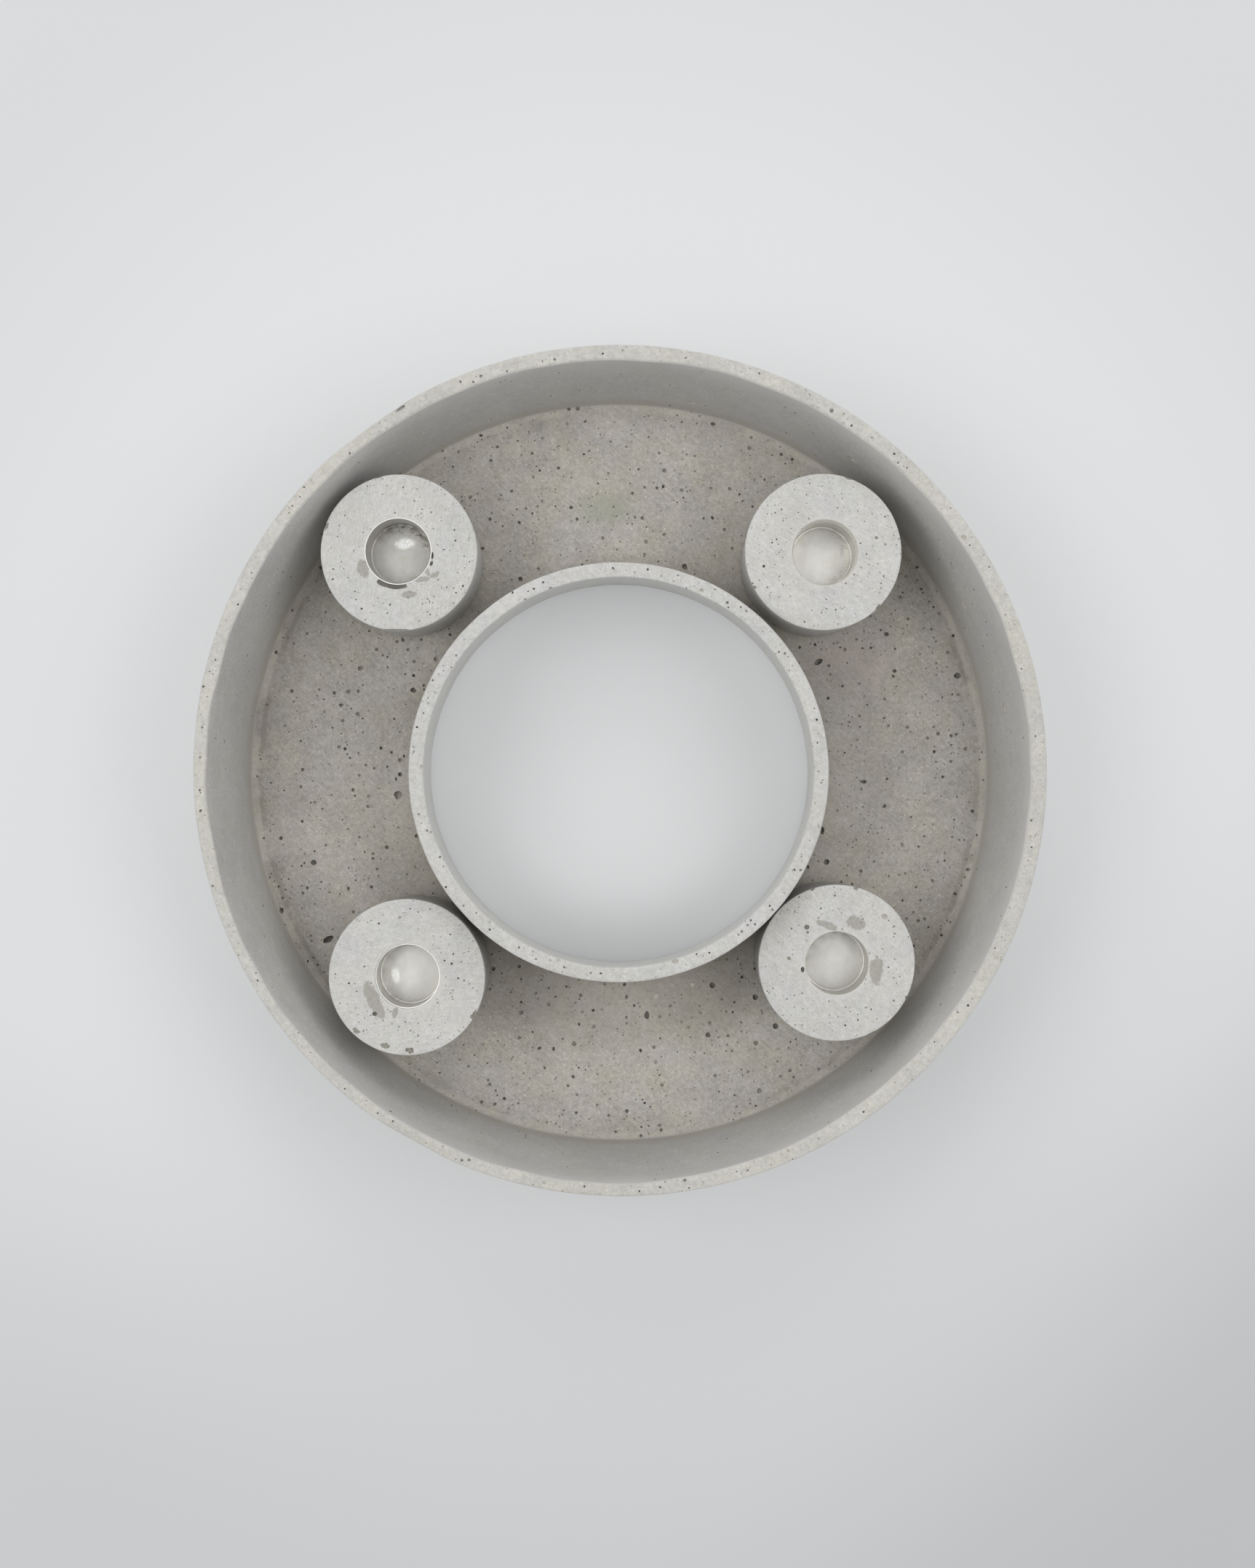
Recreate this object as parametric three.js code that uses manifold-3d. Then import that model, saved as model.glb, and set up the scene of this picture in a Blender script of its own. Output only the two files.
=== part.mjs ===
// Advent candle holder: a cast concrete ring tray, open in the middle, with a deep trough.
// Four loose concrete blocks stand in the trough, one for each Sunday. Each has a pressed tin cup
// for a dinner candle, stands on a felt pad and lifts straight out by hand.
// Millimetres, +Z up. The origin is on the table, on the axis of the ring.

import * as THREE from "three";
import { mergeVertices } from "three/addons/utils/BufferGeometryUtils.js";
import Module from "manifold-3d";

const wasm = await Module();
wasm.setup();

// Candle and its tin cup
const CANDLE_DIAMETER = 22;
const CANDLE_CLEARANCE = 0.25; // all round the candle
const CUP_WALL = 0.45;
const CUP_DEPTH = 12; // inside, from the lip to the floor
const CUP_CORNER = 1.25; // inside, between the wall and the floor

// Candle blocks
const BLOCK_DIAMETER = 56; // across the top face
const BLOCK_TAPER = 1; // the foot's radius is smaller than the top's by this
const BLOCK_HEIGHT = 39; // concrete alone, without its felt
const BLOCK_ARRIS = 0.7; // broken edge of the top and the foot
const CUP_FIT = 0.3; // all round the cup, and under it
const BORE_ARRIS = 0.35; // broken edge of the bore's mouth
const BLOCK_FELT_DIAMETER = 44;
const BLOCK_FELT_THICKNESS = 1;
const BLOCK_PLAY = 7.1; // room that a block's foot has across the flat floor of the trough

// Ring tray
const TRAY_HEIGHT = 58; // concrete alone, without its feet
const FLOOR_THICKNESS = 8;
const HOLE_DIAMETER = 137.4; // at the rim
const HOLE_DRAFT = 3; // the hole's radius grows by this from the rim to the foot
const INNER_WALL_RIM = 5.3;
const INNER_WALL_FLOOR = 4.7; // where the wall meets the floor of the trough
const OUTER_WALL_RIM = 5;
const OUTER_WALL_FLOOR = 9.3; // where the wall meets the floor of the trough
const OUTER_FILLET = 3; // between the floor and the outer wall
const INNER_FILLET = 0.6; // between the floor and the inner wall
const RIM_ARRIS = 0.8;
const FOOT_ARRIS = 1.5;
const TRAY_FOOT_DIAMETER = 20;
const TRAY_FOOT_THICKNESS = 2;

// Facets of the round shapes
const RING_SEGMENTS = 96;
const BLOCK_SEGMENTS = 48;
const CUP_SEGMENTS = 32;
const FELT_SEGMENTS = 24;

// Where each block stands: its bearing round the ring, how far across its play it stands
// (0 against the inner wall, 1 against the outer fillet), how deep its cup sits below the top face,
// and how far its bore is off the middle of the block.
const HOLDERS = [
  { place: "back_left", bearing: 135.1, across: 1, cupSink: 0, boreOff: [-0.3, 0.5] },
  { place: "back_right", bearing: 47, across: 0.5, cupSink: 3, boreOff: [0.7, -0.2] },
  { place: "front_left", bearing: 224.2, across: 0.25, cupSink: 0.8, boreOff: [0.2, 0.3] },
  { place: "front_right", bearing: 318.7, across: 0, cupSink: 0.6, boreOff: [0.2, -0.2] },
];

// Where each foot of the tray is stuck, as a bearing round the ring
const FEET = [
  { place: "back_left", bearing: 135 },
  { place: "back_right", bearing: 45 },
  { place: "front_left", bearing: 225 },
  { place: "front_right", bearing: 315 },
];

// Heights above the table
const TRAY_BASE = TRAY_FOOT_THICKNESS;
const TRAY_FLOOR = TRAY_BASE + FLOOR_THICKNESS;
const TRAY_RIM = TRAY_BASE + TRAY_HEIGHT;
const BLOCK_BASE = TRAY_FLOOR + BLOCK_FELT_THICKNESS;
const BLOCK_TOP = BLOCK_BASE + BLOCK_HEIGHT;

// Radii of the block, its bore and the cup
const BLOCK_TOP_RADIUS = BLOCK_DIAMETER / 2;
const BLOCK_FOOT_RADIUS = BLOCK_TOP_RADIUS - BLOCK_TAPER;
const CUP_INNER_RADIUS = CANDLE_DIAMETER / 2 + CANDLE_CLEARANCE;
const CUP_OUTER_RADIUS = CUP_INNER_RADIUS + CUP_WALL;
const BORE_RADIUS = CUP_OUTER_RADIUS + CUP_FIT;

// Radii of the tray: the trough is as wide as a block's foot and its play
const HOLE_RIM_RADIUS = HOLE_DIAMETER / 2;
const HOLE_FOOT_RADIUS = HOLE_RIM_RADIUS + HOLE_DRAFT;
const HOLE_FLOOR_RADIUS = HOLE_FOOT_RADIUS - (HOLE_DRAFT * FLOOR_THICKNESS) / TRAY_HEIGHT;
const TROUGH_INNER_RIM = HOLE_RIM_RADIUS + INNER_WALL_RIM;
const TROUGH_INNER_FLOOR = HOLE_FLOOR_RADIUS + INNER_WALL_FLOOR;
const FLAT_INNER = TROUGH_INNER_FLOOR + INNER_FILLET;
const FLAT_OUTER = FLAT_INNER + 2 * BLOCK_FOOT_RADIUS + BLOCK_PLAY;
const TROUGH_OUTER_FLOOR = FLAT_OUTER + OUTER_FILLET;
const TRAY_RADIUS = TROUGH_OUTER_FLOOR + OUTER_WALL_FLOOR;
const TROUGH_OUTER_RIM = TRAY_RADIUS - OUTER_WALL_RIM;

function concrete() {
  return new THREE.MeshStandardMaterial({ color: 0xb9b8b3, roughness: 0.9, metalness: 0 });
}

function tin() {
  return new THREE.MeshStandardMaterial({ color: 0xc8c8c4, roughness: 0.35, metalness: 1 });
}

function felt() {
  return new THREE.MeshStandardMaterial({ color: 0x55534f, roughness: 1, metalness: 0 });
}

// Outline through the corners [radius, height, rounding, steps]: each corner that has a rounding
// becomes an arc tangent to its two sides, in that many steps.
function outline(corners) {
  const points = [];
  corners.forEach(([radius, height, rounding = 0, steps = 1], i) => {
    const corner = new THREE.Vector2(radius, height);
    if (rounding === 0) {
      points.push(corner);
      return;
    }
    const before = corners[(i + corners.length - 1) % corners.length];
    const after = corners[(i + 1) % corners.length];
    const back = new THREE.Vector2(before[0], before[1]).sub(corner).normalize();
    const on = new THREE.Vector2(after[0], after[1]).sub(corner).normalize();
    const half = Math.acos(back.dot(on)) / 2;
    const middle = back.clone().add(on).normalize();
    const centre = corner.clone().addScaledVector(middle, rounding / Math.sin(half));
    const reach = rounding / Math.tan(half);
    const first = corner.clone().addScaledVector(back, reach).sub(centre);
    const last = corner.clone().addScaledVector(on, reach).sub(centre);
    const turn = Math.atan2(first.cross(last), first.dot(last));
    for (let step = 0; step <= steps; step += 1) {
      points.push(first.clone().rotateAround(new THREE.Vector2(), (turn * step) / steps).add(centre));
    }
  });
  return points;
}

// Solid of revolution about Z. A hollow ring's outline closes on itself, and any other
// starts and ends on the axis.
function turned(points, segments) {
  const onAxis = points[0].x === 0;
  const closed = onAxis ? points : [...points, points[0].clone()];
  return new THREE.LatheGeometry(closed, segments).rotateX(Math.PI / 2);
}

function toSolid(geometry) {
  const bare = geometry.clone();
  bare.deleteAttribute("normal");
  bare.deleteAttribute("uv");
  const merged = mergeVertices(bare);
  return new wasm.Manifold(
    new wasm.Mesh({
      numProp: 3,
      vertProperties: merged.attributes.position.array,
      triVerts: new Uint32Array(merged.index.array),
    }),
  );
}

function toGeometry(solid) {
  const mesh = solid.getMesh();
  const geometry = new THREE.BufferGeometry();
  geometry.setAttribute("position", new THREE.BufferAttribute(mesh.vertProperties, 3));
  geometry.setIndex(new THREE.BufferAttribute(mesh.triVerts, 1));
  geometry.computeVertexNormals();
  return geometry;
}

function named(name, geometry, material) {
  const mesh = new THREE.Mesh(geometry, material);
  mesh.name = name;
  return mesh;
}

// The tray is cast rim down, so the trough widens towards the rim and the hole towards the foot.
function ringTray() {
  const section = outline([
    [HOLE_FOOT_RADIUS, TRAY_BASE, FOOT_ARRIS],
    [TRAY_RADIUS, TRAY_BASE, FOOT_ARRIS],
    [TRAY_RADIUS, TRAY_RIM, RIM_ARRIS],
    [TROUGH_OUTER_RIM, TRAY_RIM, RIM_ARRIS],
    [TROUGH_OUTER_FLOOR, TRAY_FLOOR, OUTER_FILLET, 4],
    [TROUGH_INNER_FLOOR, TRAY_FLOOR, INNER_FILLET],
    [TROUGH_INNER_RIM, TRAY_RIM, RIM_ARRIS],
    [HOLE_RIM_RADIUS, TRAY_RIM, RIM_ARRIS],
  ]);
  return named("ring_tray", turned(section, RING_SEGMENTS), concrete());
}

function candleBlock(place, cupSink, boreOff) {
  const boreFloor = BLOCK_TOP - cupSink - CUP_DEPTH - CUP_WALL - CUP_FIT;
  const aboveTop = BLOCK_TOP + 2 * BORE_ARRIS;
  const body = outline([
    [0, BLOCK_BASE],
    [BLOCK_FOOT_RADIUS, BLOCK_BASE, BLOCK_ARRIS],
    [BLOCK_TOP_RADIUS, BLOCK_TOP, BLOCK_ARRIS],
    [0, BLOCK_TOP],
  ]);
  const bore = outline([
    [0, boreFloor],
    [BORE_RADIUS, boreFloor],
    [BORE_RADIUS, BLOCK_TOP - BORE_ARRIS],
    [BORE_RADIUS + BORE_ARRIS, BLOCK_TOP],
    [BORE_RADIUS + BORE_ARRIS, aboveTop],
    [0, aboveTop],
  ]);
  const cutter = turned(bore, CUP_SEGMENTS).translate(boreOff[0], boreOff[1], 0);
  const solid = toSolid(turned(body, BLOCK_SEGMENTS)).subtract(toSolid(cutter));
  return named(`candle_block_${place}`, toGeometry(solid), concrete());
}

// Pressed shell with a flat floor, plain lip up
function candleCup(place, cupSink, boreOff) {
  const lip = BLOCK_TOP - cupSink;
  const inside = lip - CUP_DEPTH;
  const section = outline([
    [0, inside - CUP_WALL],
    [CUP_OUTER_RADIUS, inside - CUP_WALL, CUP_CORNER + CUP_WALL, 3],
    [CUP_OUTER_RADIUS, lip],
    [CUP_INNER_RADIUS, lip],
    [CUP_INNER_RADIUS, inside, CUP_CORNER, 3],
    [0, inside],
  ]);
  const cup = named(`candle_cup_${place}`, turned(section, CUP_SEGMENTS), tin());
  cup.position.set(boreOff[0], boreOff[1], 0);
  return cup;
}

// Felt disc stuck under a piece of concrete, with its top face at the given height
function feltDisc(name, diameter, thickness, top) {
  const disc = new THREE.CylinderGeometry(diameter / 2, diameter / 2, thickness, FELT_SEGMENTS);
  const mesh = named(name, disc.rotateX(Math.PI / 2), felt());
  mesh.position.z = top - thickness / 2;
  return mesh;
}

// Point at a bearing round the ring, in degrees from +X towards +Y
function onBearing(bearing, radius) {
  const angle = THREE.MathUtils.degToRad(bearing);
  return [radius * Math.cos(angle), radius * Math.sin(angle)];
}

function candleHolder({ place, bearing, across, cupSink, boreOff }) {
  const holder = new THREE.Group();
  holder.add(candleBlock(place, cupSink, boreOff));
  holder.add(candleCup(place, cupSink, boreOff));
  holder.add(feltDisc(`block_felt_${place}`, BLOCK_FELT_DIAMETER, BLOCK_FELT_THICKNESS, BLOCK_BASE));
  const radius = FLAT_INNER + BLOCK_FOOT_RADIUS + across * BLOCK_PLAY;
  const [x, y] = onBearing(bearing, radius);
  holder.position.set(x, y, 0);
  return holder;
}

function trayFoot({ place, bearing }) {
  const foot = feltDisc(`tray_foot_${place}`, TRAY_FOOT_DIAMETER, TRAY_FOOT_THICKNESS, TRAY_BASE);
  const [x, y] = onBearing(bearing, (HOLE_FOOT_RADIUS + TRAY_RADIUS) / 2);
  foot.position.x = x;
  foot.position.y = y;
  return foot;
}

const adventCandleHolder = new THREE.Group();
adventCandleHolder.add(ringTray());
FEET.forEach((foot) => adventCandleHolder.add(trayFoot(foot)));
HOLDERS.forEach((holder) => adventCandleHolder.add(candleHolder(holder)));

export default adventCandleHolder;
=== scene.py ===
# Advent candle holder: a cast concrete ring tray, four loose candle blocks with metal cups, and felts.
# Lengths are in metres and colours are linear. The ring's axis is the Z axis, and the table is at zero.
import math
import random

import bpy
import numpy as np
from bpy.props import FloatProperty, FloatVectorProperty, IntProperty, PointerProperty
from mathutils import Matrix, Vector, noise


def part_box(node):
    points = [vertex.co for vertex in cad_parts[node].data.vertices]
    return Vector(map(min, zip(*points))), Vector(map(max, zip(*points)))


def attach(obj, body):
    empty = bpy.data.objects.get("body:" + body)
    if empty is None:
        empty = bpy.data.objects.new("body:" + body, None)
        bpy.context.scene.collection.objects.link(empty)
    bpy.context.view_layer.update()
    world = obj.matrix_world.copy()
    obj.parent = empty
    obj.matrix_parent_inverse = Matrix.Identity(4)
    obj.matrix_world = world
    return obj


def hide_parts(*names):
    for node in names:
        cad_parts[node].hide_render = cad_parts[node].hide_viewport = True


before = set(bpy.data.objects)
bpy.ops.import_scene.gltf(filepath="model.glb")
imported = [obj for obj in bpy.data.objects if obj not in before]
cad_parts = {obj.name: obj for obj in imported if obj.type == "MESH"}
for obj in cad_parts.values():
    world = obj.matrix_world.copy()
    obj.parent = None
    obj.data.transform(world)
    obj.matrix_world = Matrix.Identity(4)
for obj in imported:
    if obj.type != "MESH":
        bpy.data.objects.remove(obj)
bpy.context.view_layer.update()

bl_info = {
    "name": "Advent candle holder",
    "version": (1, 0, 0),
    "blender": (4, 5, 0),
    "location": "View3D > Sidebar > Candle holder",
    "description": "Builds a concrete advent candle holder with four loose candle blocks",
    "category": "Add Mesh",
}

PLACES = ("back_left", "back_right", "front_left", "front_right")
MM = 0.001

# Width and height of the photograph in pixels, and width of the camera's sensor in millimetres
PICTURE = (1725, 2156)
SENSOR = 36

# The finishes of a concrete piece, in the order of its material slots
SANDED, CAST, FLOOR, UNDERSIDE, HOLE = range(5)
# A block has no trough floor, so its throat takes the place of that finish
THROAT = FLOOR

# The finishes inside a cut: an air hole, a deep dark one, a shallow pale one, and broken concrete
PIT, DEEP, PALE, BROKEN = range(4)

tray_low, tray_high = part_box("ring_tray")
floor_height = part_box("block_felt_back_left")[0].z


def length(name, description, default):
    """A property for one length."""
    return FloatProperty(name=name, description=description, default=default, unit="LENGTH", precision=5)


def power(name, description, default):
    """A property for the power of one lamp."""
    return FloatProperty(name=name, description=description, default=default, unit="POWER")


def colour(name, description, default):
    """A property for one linear colour."""
    return FloatVectorProperty(
        name=name, description=description, default=default, subtype="COLOR", size=3, min=0, max=1
    )


class TraySizes(bpy.types.PropertyGroup):
    """Sizes of the ring tray."""

    rim_radius: length("Rim radius", "Outside of the outer wall", tray_high.x)
    rim_height: length("Rim height", "Top of both walls above the table", tray_high.z)
    underside: length("Underside", "Underside of the casting above the table", tray_low.z)
    floor_height: length("Floor height", "Floor of the trough above the table", floor_height)
    hole_rim_radius: length("Hole at the rim", "Radius of the hole at the rim", 68.7 * MM)
    hole_foot_radius: length("Hole at the foot", "Radius of the hole at the foot", 71.7 * MM)
    inner_wall_rim: length("Inner rim width", "Width of the inner wall's top", 5.3 * MM)
    outer_wall_rim: length("Outer rim width", "Width of the outer wall's top", 5.0 * MM)
    trough_inner: length("Trough inside", "Radius where the floor meets the inner wall", 75.99 * MM)
    trough_outer: length("Trough outside", "Radius where the floor meets the outer wall", 138.6 * MM)
    fillet: length("Fillet", "Between the floor and the walls", 0.8 * MM)
    rim_arris: length("Rim arris", "Rounding of the rims", 0.5 * MM)
    soft_arris: length("Soft arris", "Rounding of the outer rim on the trough's side", 1.1 * MM)
    foot_arris: length("Foot arris", "Rounding of the foot", 1.5 * MM)


class BlockSizes(bpy.types.PropertyGroup):
    """Sizes that all candle blocks share. Their places, heights and widths come from the frame."""

    taper: length("Taper", "The foot's radius is smaller than the top's by this", 1.0 * MM)
    arris: length("Arris", "Rounding of the top edge", 0.35 * MM)
    foot_arris: length("Foot arris", "Rounding of the foot", 0.8 * MM)
    bore_gap: length("Bore gap", "Room all round the cup", 0.3 * MM)
    mouth_arris: length("Mouth arris", "Rounding of the bore's mouth", 0.08 * MM)


class CupSizes(bpy.types.PropertyGroup):
    """Sizes that all candle cups share. Their places and widths come from the frame."""

    wall: length("Wall", "Thickness of the metal", 0.45 * MM)
    lip_rounding: length("Lip rounding", "Rounding of the lip's edges", 0.1 * MM)
    corner: length("Corner", "Inside, between the wall and the floor", 0.5 * MM)
    flare_height: length("Flare height", "Height of a lip that turns outwards", 1.2 * MM)
    step: length("Step", "Rise of the pressed step that runs round the floor", 0.08 * MM)
    dome: length("Dome", "Rise of the floor's middle", 0.45 * MM)
    dent: length("Dents", "Depth of the dents in the floor", 0.08 * MM)
    step_margin: length("Step margin", "Level floor between the corner and the step", 0.15 * MM)
    step_width: length("Step width", "Width of the step's slope", 0.3 * MM)


class CupLook(bpy.types.PropertyGroup):
    """Colours of the candle cups."""

    # Painted highlight along the edge of a lip
    rubbed: colour("Rubbed metal", "Edge of a lip that is rubbed bright", (0.95, 0.945, 0.92))
    # Painted highlight on a floor
    bright_spot: colour("Bright spot", "Bright patches of a floor", (1.0, 1.0, 0.99))
    # Painted shade of the wall on a floor, and a dark smudge
    dark_spot: colour("Dark spot", "Dull patches of a floor", (0.1, 0.1, 0.09))
    grime: colour("Grime", "Dirt along the edge of a floor", (0.15, 0.122, 0.08))


class FeltLook(bpy.types.PropertyGroup):
    """Colours of the felts."""

    dark: colour("Dark fibres", "Darkest fibres of the wool", (0.028, 0.027, 0.025))
    light: colour("Light fibres", "Lightest fibres of the wool", (0.075, 0.072, 0.066))


class ConcreteLook(bpy.types.PropertyGroup):
    """Colours and air holes of the concrete."""

    sanded: colour("Sanded", "Rims and the tops of the blocks", (0.585, 0.58, 0.557))
    outer_rim: colour("Outer rim", "What the sanded colour is multiplied by there", (0.972, 0.96, 0.928))
    cast: colour("Cast", "Walls as they left the mould", (0.55, 0.543, 0.527))
    floor: colour("Floor", "Floor of the trough", (0.505, 0.48, 0.438))
    # Painted light: the hole's wall is paler than the cast walls, standing in for the light that the paper
    # throws onto it
    hole_wall: colour("Hole wall", "Wall of the hole, which left the mould paler", (0.67, 0.665, 0.65))
    throat: colour("Throat", "Cast throat of a bore, pale and a little yellow", (0.74, 0.72, 0.65))
    pit: colour("Pit", "Inside of the air holes", (0.31, 0.295, 0.258))
    deep: colour("Deep", "Inside of the deep air holes", (0.21, 0.2, 0.176))
    pale: colour("Pale", "Inside of the shallow air holes", (0.53, 0.51, 0.465))
    broken: colour("Broken", "Chips and low patches that the sanding missed", (0.36, 0.348, 0.31))
    # Pale grains, and on the walls painted glints of the lit lower lips of small air holes
    flecks: colour("Flecks", "Pale grains that show in the surface", (0.86, 0.85, 0.81))
    # Painted shade and dust: the dark bands of the floor, and its painted shade along the inner wall and
    # near the hole
    dust: colour("Dust", "Dark bands of the trough's floor", (0.30, 0.275, 0.235))
    cream: colour("Cream", "Pale line of the floor near the outer wall", (0.62, 0.585, 0.51))
    green_smudge: colour("Green smudge", "Smudge on the floor at the back", (0.36, 0.385, 0.30))
    pink_smudge: colour("Pink smudge", "Smudge on the floor at the right", (0.50, 0.435, 0.40))
    wall_foot: colour("Wall foot", "Foot of the trough's walls", (0.475, 0.45, 0.408))
    # Painted shade of the trough's walls
    wall_dust: colour("Wall dust", "Dust on the trough's walls", (0.375, 0.362, 0.332))
    # Painted light under the outer wall's rim
    wall_light: colour("Light wall", "Outer wall under the rim", (0.63, 0.622, 0.6))
    # Painted shade on the sides of the front blocks, towards the hole
    rubbed_side: colour("Rubbed side", "Dirt on the sides of the front blocks", (0.22, 0.21, 0.19))
    bore_ring: colour("Ring round a bore", "Pale ring on a top round its bore", (0.65, 0.64, 0.6))
    smallest_hole: length("Smallest air hole", "Smallest air hole that is cut, across its mouth", 0.62 * MM)
    hole_spread: length("Spread of air holes", "Mean of what an air hole has over the smallest", 0.33 * MM)
    seed: IntProperty(name="Seed", description="Start of the random draws", default=7)


class StageLook(bpy.types.PropertyGroup):
    """Camera, lamps and backdrop."""

    camera_height: length("Camera height", "Camera above the table", 760 * MM)
    camera_right: length("Camera right", "Camera to the right of the ring's axis", 3.2 * MM)
    camera_back: length("Camera back", "Camera behind the ring's axis", -4.5 * MM)
    lens: FloatProperty(name="Lens", description="Focal length in millimetres", default=45.65)
    paper: colour("Paper", "Backdrop that the holder stands on", (0.76, 0.77, 0.778))
    paper_glow: FloatProperty(name="Paper glow", description="Share of the paper in no shadow", default=0.33)
    far_paper: length("Far paper", "Distance beyond which the paper is out of the lamps' light", 400 * MM)
    paper_half: length("Paper half width", "Half the width of the square sheet", 6000 * MM)
    lamp_distance: length("Lamp distance", "From the table's middle to each lamp", 1600 * MM)
    lamp_width: length("Lamp width", "Diameter of each round lamp", 1100 * MM)
    left_lamp: power("Left lamp", "Power of the lamp on the left", 7.7)
    right_lamp: power("Right lamp", "Power of the lamp on the right", 6.7)
    back_lamp: power("Back lamp", "Power of the low lamp at the back", 5.0)
    sky: FloatProperty(name="Sky", description="Strength of the light from all round", default=0.46)


def rounded_outline(corners):
    """Points of an outline, and the finish of the stretch after each.

    A corner is (radius, height, rounding, steps, finish, spacing). The last two are for the stretch
    after it, which is divided into steps of at most that spacing."""
    arcs = []
    for i, (radius, height, rounding, steps, *_) in enumerate(corners):
        corner = Vector((radius, height))
        if rounding == 0:
            arcs.append([corner])
            continue
        back = (Vector(corners[i - 1][:2]) - corner).normalized()
        on = (Vector(corners[(i + 1) % len(corners)][:2]) - corner).normalized()
        half = back.angle(on) / 2
        centre = corner + (back + on).normalized() * (rounding / math.sin(half))
        reach = rounding / math.tan(half)
        first = corner + back * reach - centre
        turn = first.angle_signed(corner + on * reach - centre)
        arcs.append([centre + Matrix.Rotation(-turn * s / steps, 2) @ first for s in range(steps + 1)])
    points, finishes = [], []
    for i, arc in enumerate(arcs):
        finish, spacing = corners[i][4:]
        for s, point in enumerate(arc[:-1]):
            points.append(point)
            finishes.append(corners[i - 1][4] if s < (len(arc) - 1) / 2 else finish)
        start, end = arc[-1], arcs[(i + 1) % len(arcs)][0]
        pieces = max(1, math.ceil((end - start).length / spacing))
        points += [start.lerp(end, s / pieces) for s in range(pieces)]
        finishes += [finish] * pieces
    return points, finishes


def turned_mesh(name, points, finishes, segments):
    """A closed mesh turned about Z. An outline that touches the axis runs from the axis to the axis."""
    solid = points[0].x == 0
    ring = points[1:-1] if solid else points
    count = len(ring)
    angles = np.arange(segments) * 2 * math.pi / segments
    radii = np.array([p.x for p in ring])
    heights = np.array([p.y for p in ring])
    places = np.stack(
        [
            np.outer(np.cos(angles), radii),
            np.outer(np.sin(angles), radii),
            np.broadcast_to(heights, (segments, count)),
        ],
        axis=-1,
    ).reshape(-1, 3)
    stretches = count - 1 if solid else count
    i, j = np.meshgrid(np.arange(segments), np.arange(stretches), indexing="ij")
    near, far = i * count, (i + 1) % segments * count
    upper = (j + 1) % count
    faces = np.stack([near + j, far + j, far + upper, near + upper], axis=-1).reshape(-1, 4).tolist()
    looks = [finishes[k + 1 if solid else k] for k in range(stretches)] * segments
    if solid:
        places = np.vstack([places, [[0, 0, points[0].y], [0, 0, points[-1].y]]])
        bottom, top = segments * count, segments * count + 1
        for k in range(segments):
            here, there = k * count, (k + 1) % segments * count
            faces.append([bottom, there, here])
            faces.append([top, here + count - 1, there + count - 1])
            looks += [finishes[0], finishes[-2]]
    mesh = bpy.data.meshes.new(name)
    mesh.from_pydata(places.tolist(), [], faces)
    mesh.polygons.foreach_set("material_index", looks)
    mesh.update()
    return mesh


def noise_at(places, size, seed):
    """A noise from about -1 to 1 at each place, whose features have that size."""
    shift = Vector((seed, 0, 0))
    return np.array([noise.noise(Vector(place) / size + shift) for place in places])


def places_of(mesh):
    """The mesh's vertices as an array."""
    places = np.empty(len(mesh.vertices) * 3)
    mesh.vertices.foreach_get("co", places)
    return places.reshape(-1, 3)


def move_to(mesh, places):
    """Puts the mesh's vertices at these places."""
    mesh.vertices.foreach_set("co", np.ascontiguousarray(places, dtype=np.float32).ravel())
    mesh.update()


def roughen(mesh, depth, size, seed):
    """Moves each vertex along its normal by smooth noise of that depth and feature size."""
    places = places_of(mesh)
    normals = np.array([n.vector[:] for n in mesh.vertex_normals])
    offset = Vector((seed * 17.3, seed * 5.1, seed * 11.7))
    lift = [noise.noise(Vector(p) / size + offset) for p in places]
    move_to(mesh, places + normals * (np.array(lift) * depth)[:, None])


def wander(bearings, waves, seed):
    """Smooth noise round the axis, one value for each bearing in radians."""
    places = [Vector((math.cos(b) * waves, math.sin(b) * waves, seed)) for b in bearings]
    return np.array([noise.noise(place) for place in places])


def add_piece(name, mesh, materials, body, slot, *nodes):
    """Shows a mesh as the piece that stands for some nodes of the frame and rides on a body."""
    for material in materials:
        mesh.materials.append(material)
    piece = bpy.data.objects.new(name, mesh)
    bpy.context.scene.collection.objects.link(piece)
    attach(piece, body)
    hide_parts(*nodes)
    return piece


def picture_point(across, down, height):
    """The place at that height that shows at a pixel of the picture, counted from its top left."""
    stage = bpy.context.scene.stage_look
    step = (stage.camera_height - height) * SENSOR / (stage.lens * PICTURE[1])
    right = stage.camera_right + (across - PICTURE[0] / 2) * step
    back = stage.camera_back - (down - PICTURE[1] / 2) * step
    return Vector((right, back, height))


def on_ring(radius, bearing, height):
    """A place on the ring, its bearing in radians from +X towards +Y."""
    return Vector((radius * math.cos(bearing), radius * math.sin(bearing), height))


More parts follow.
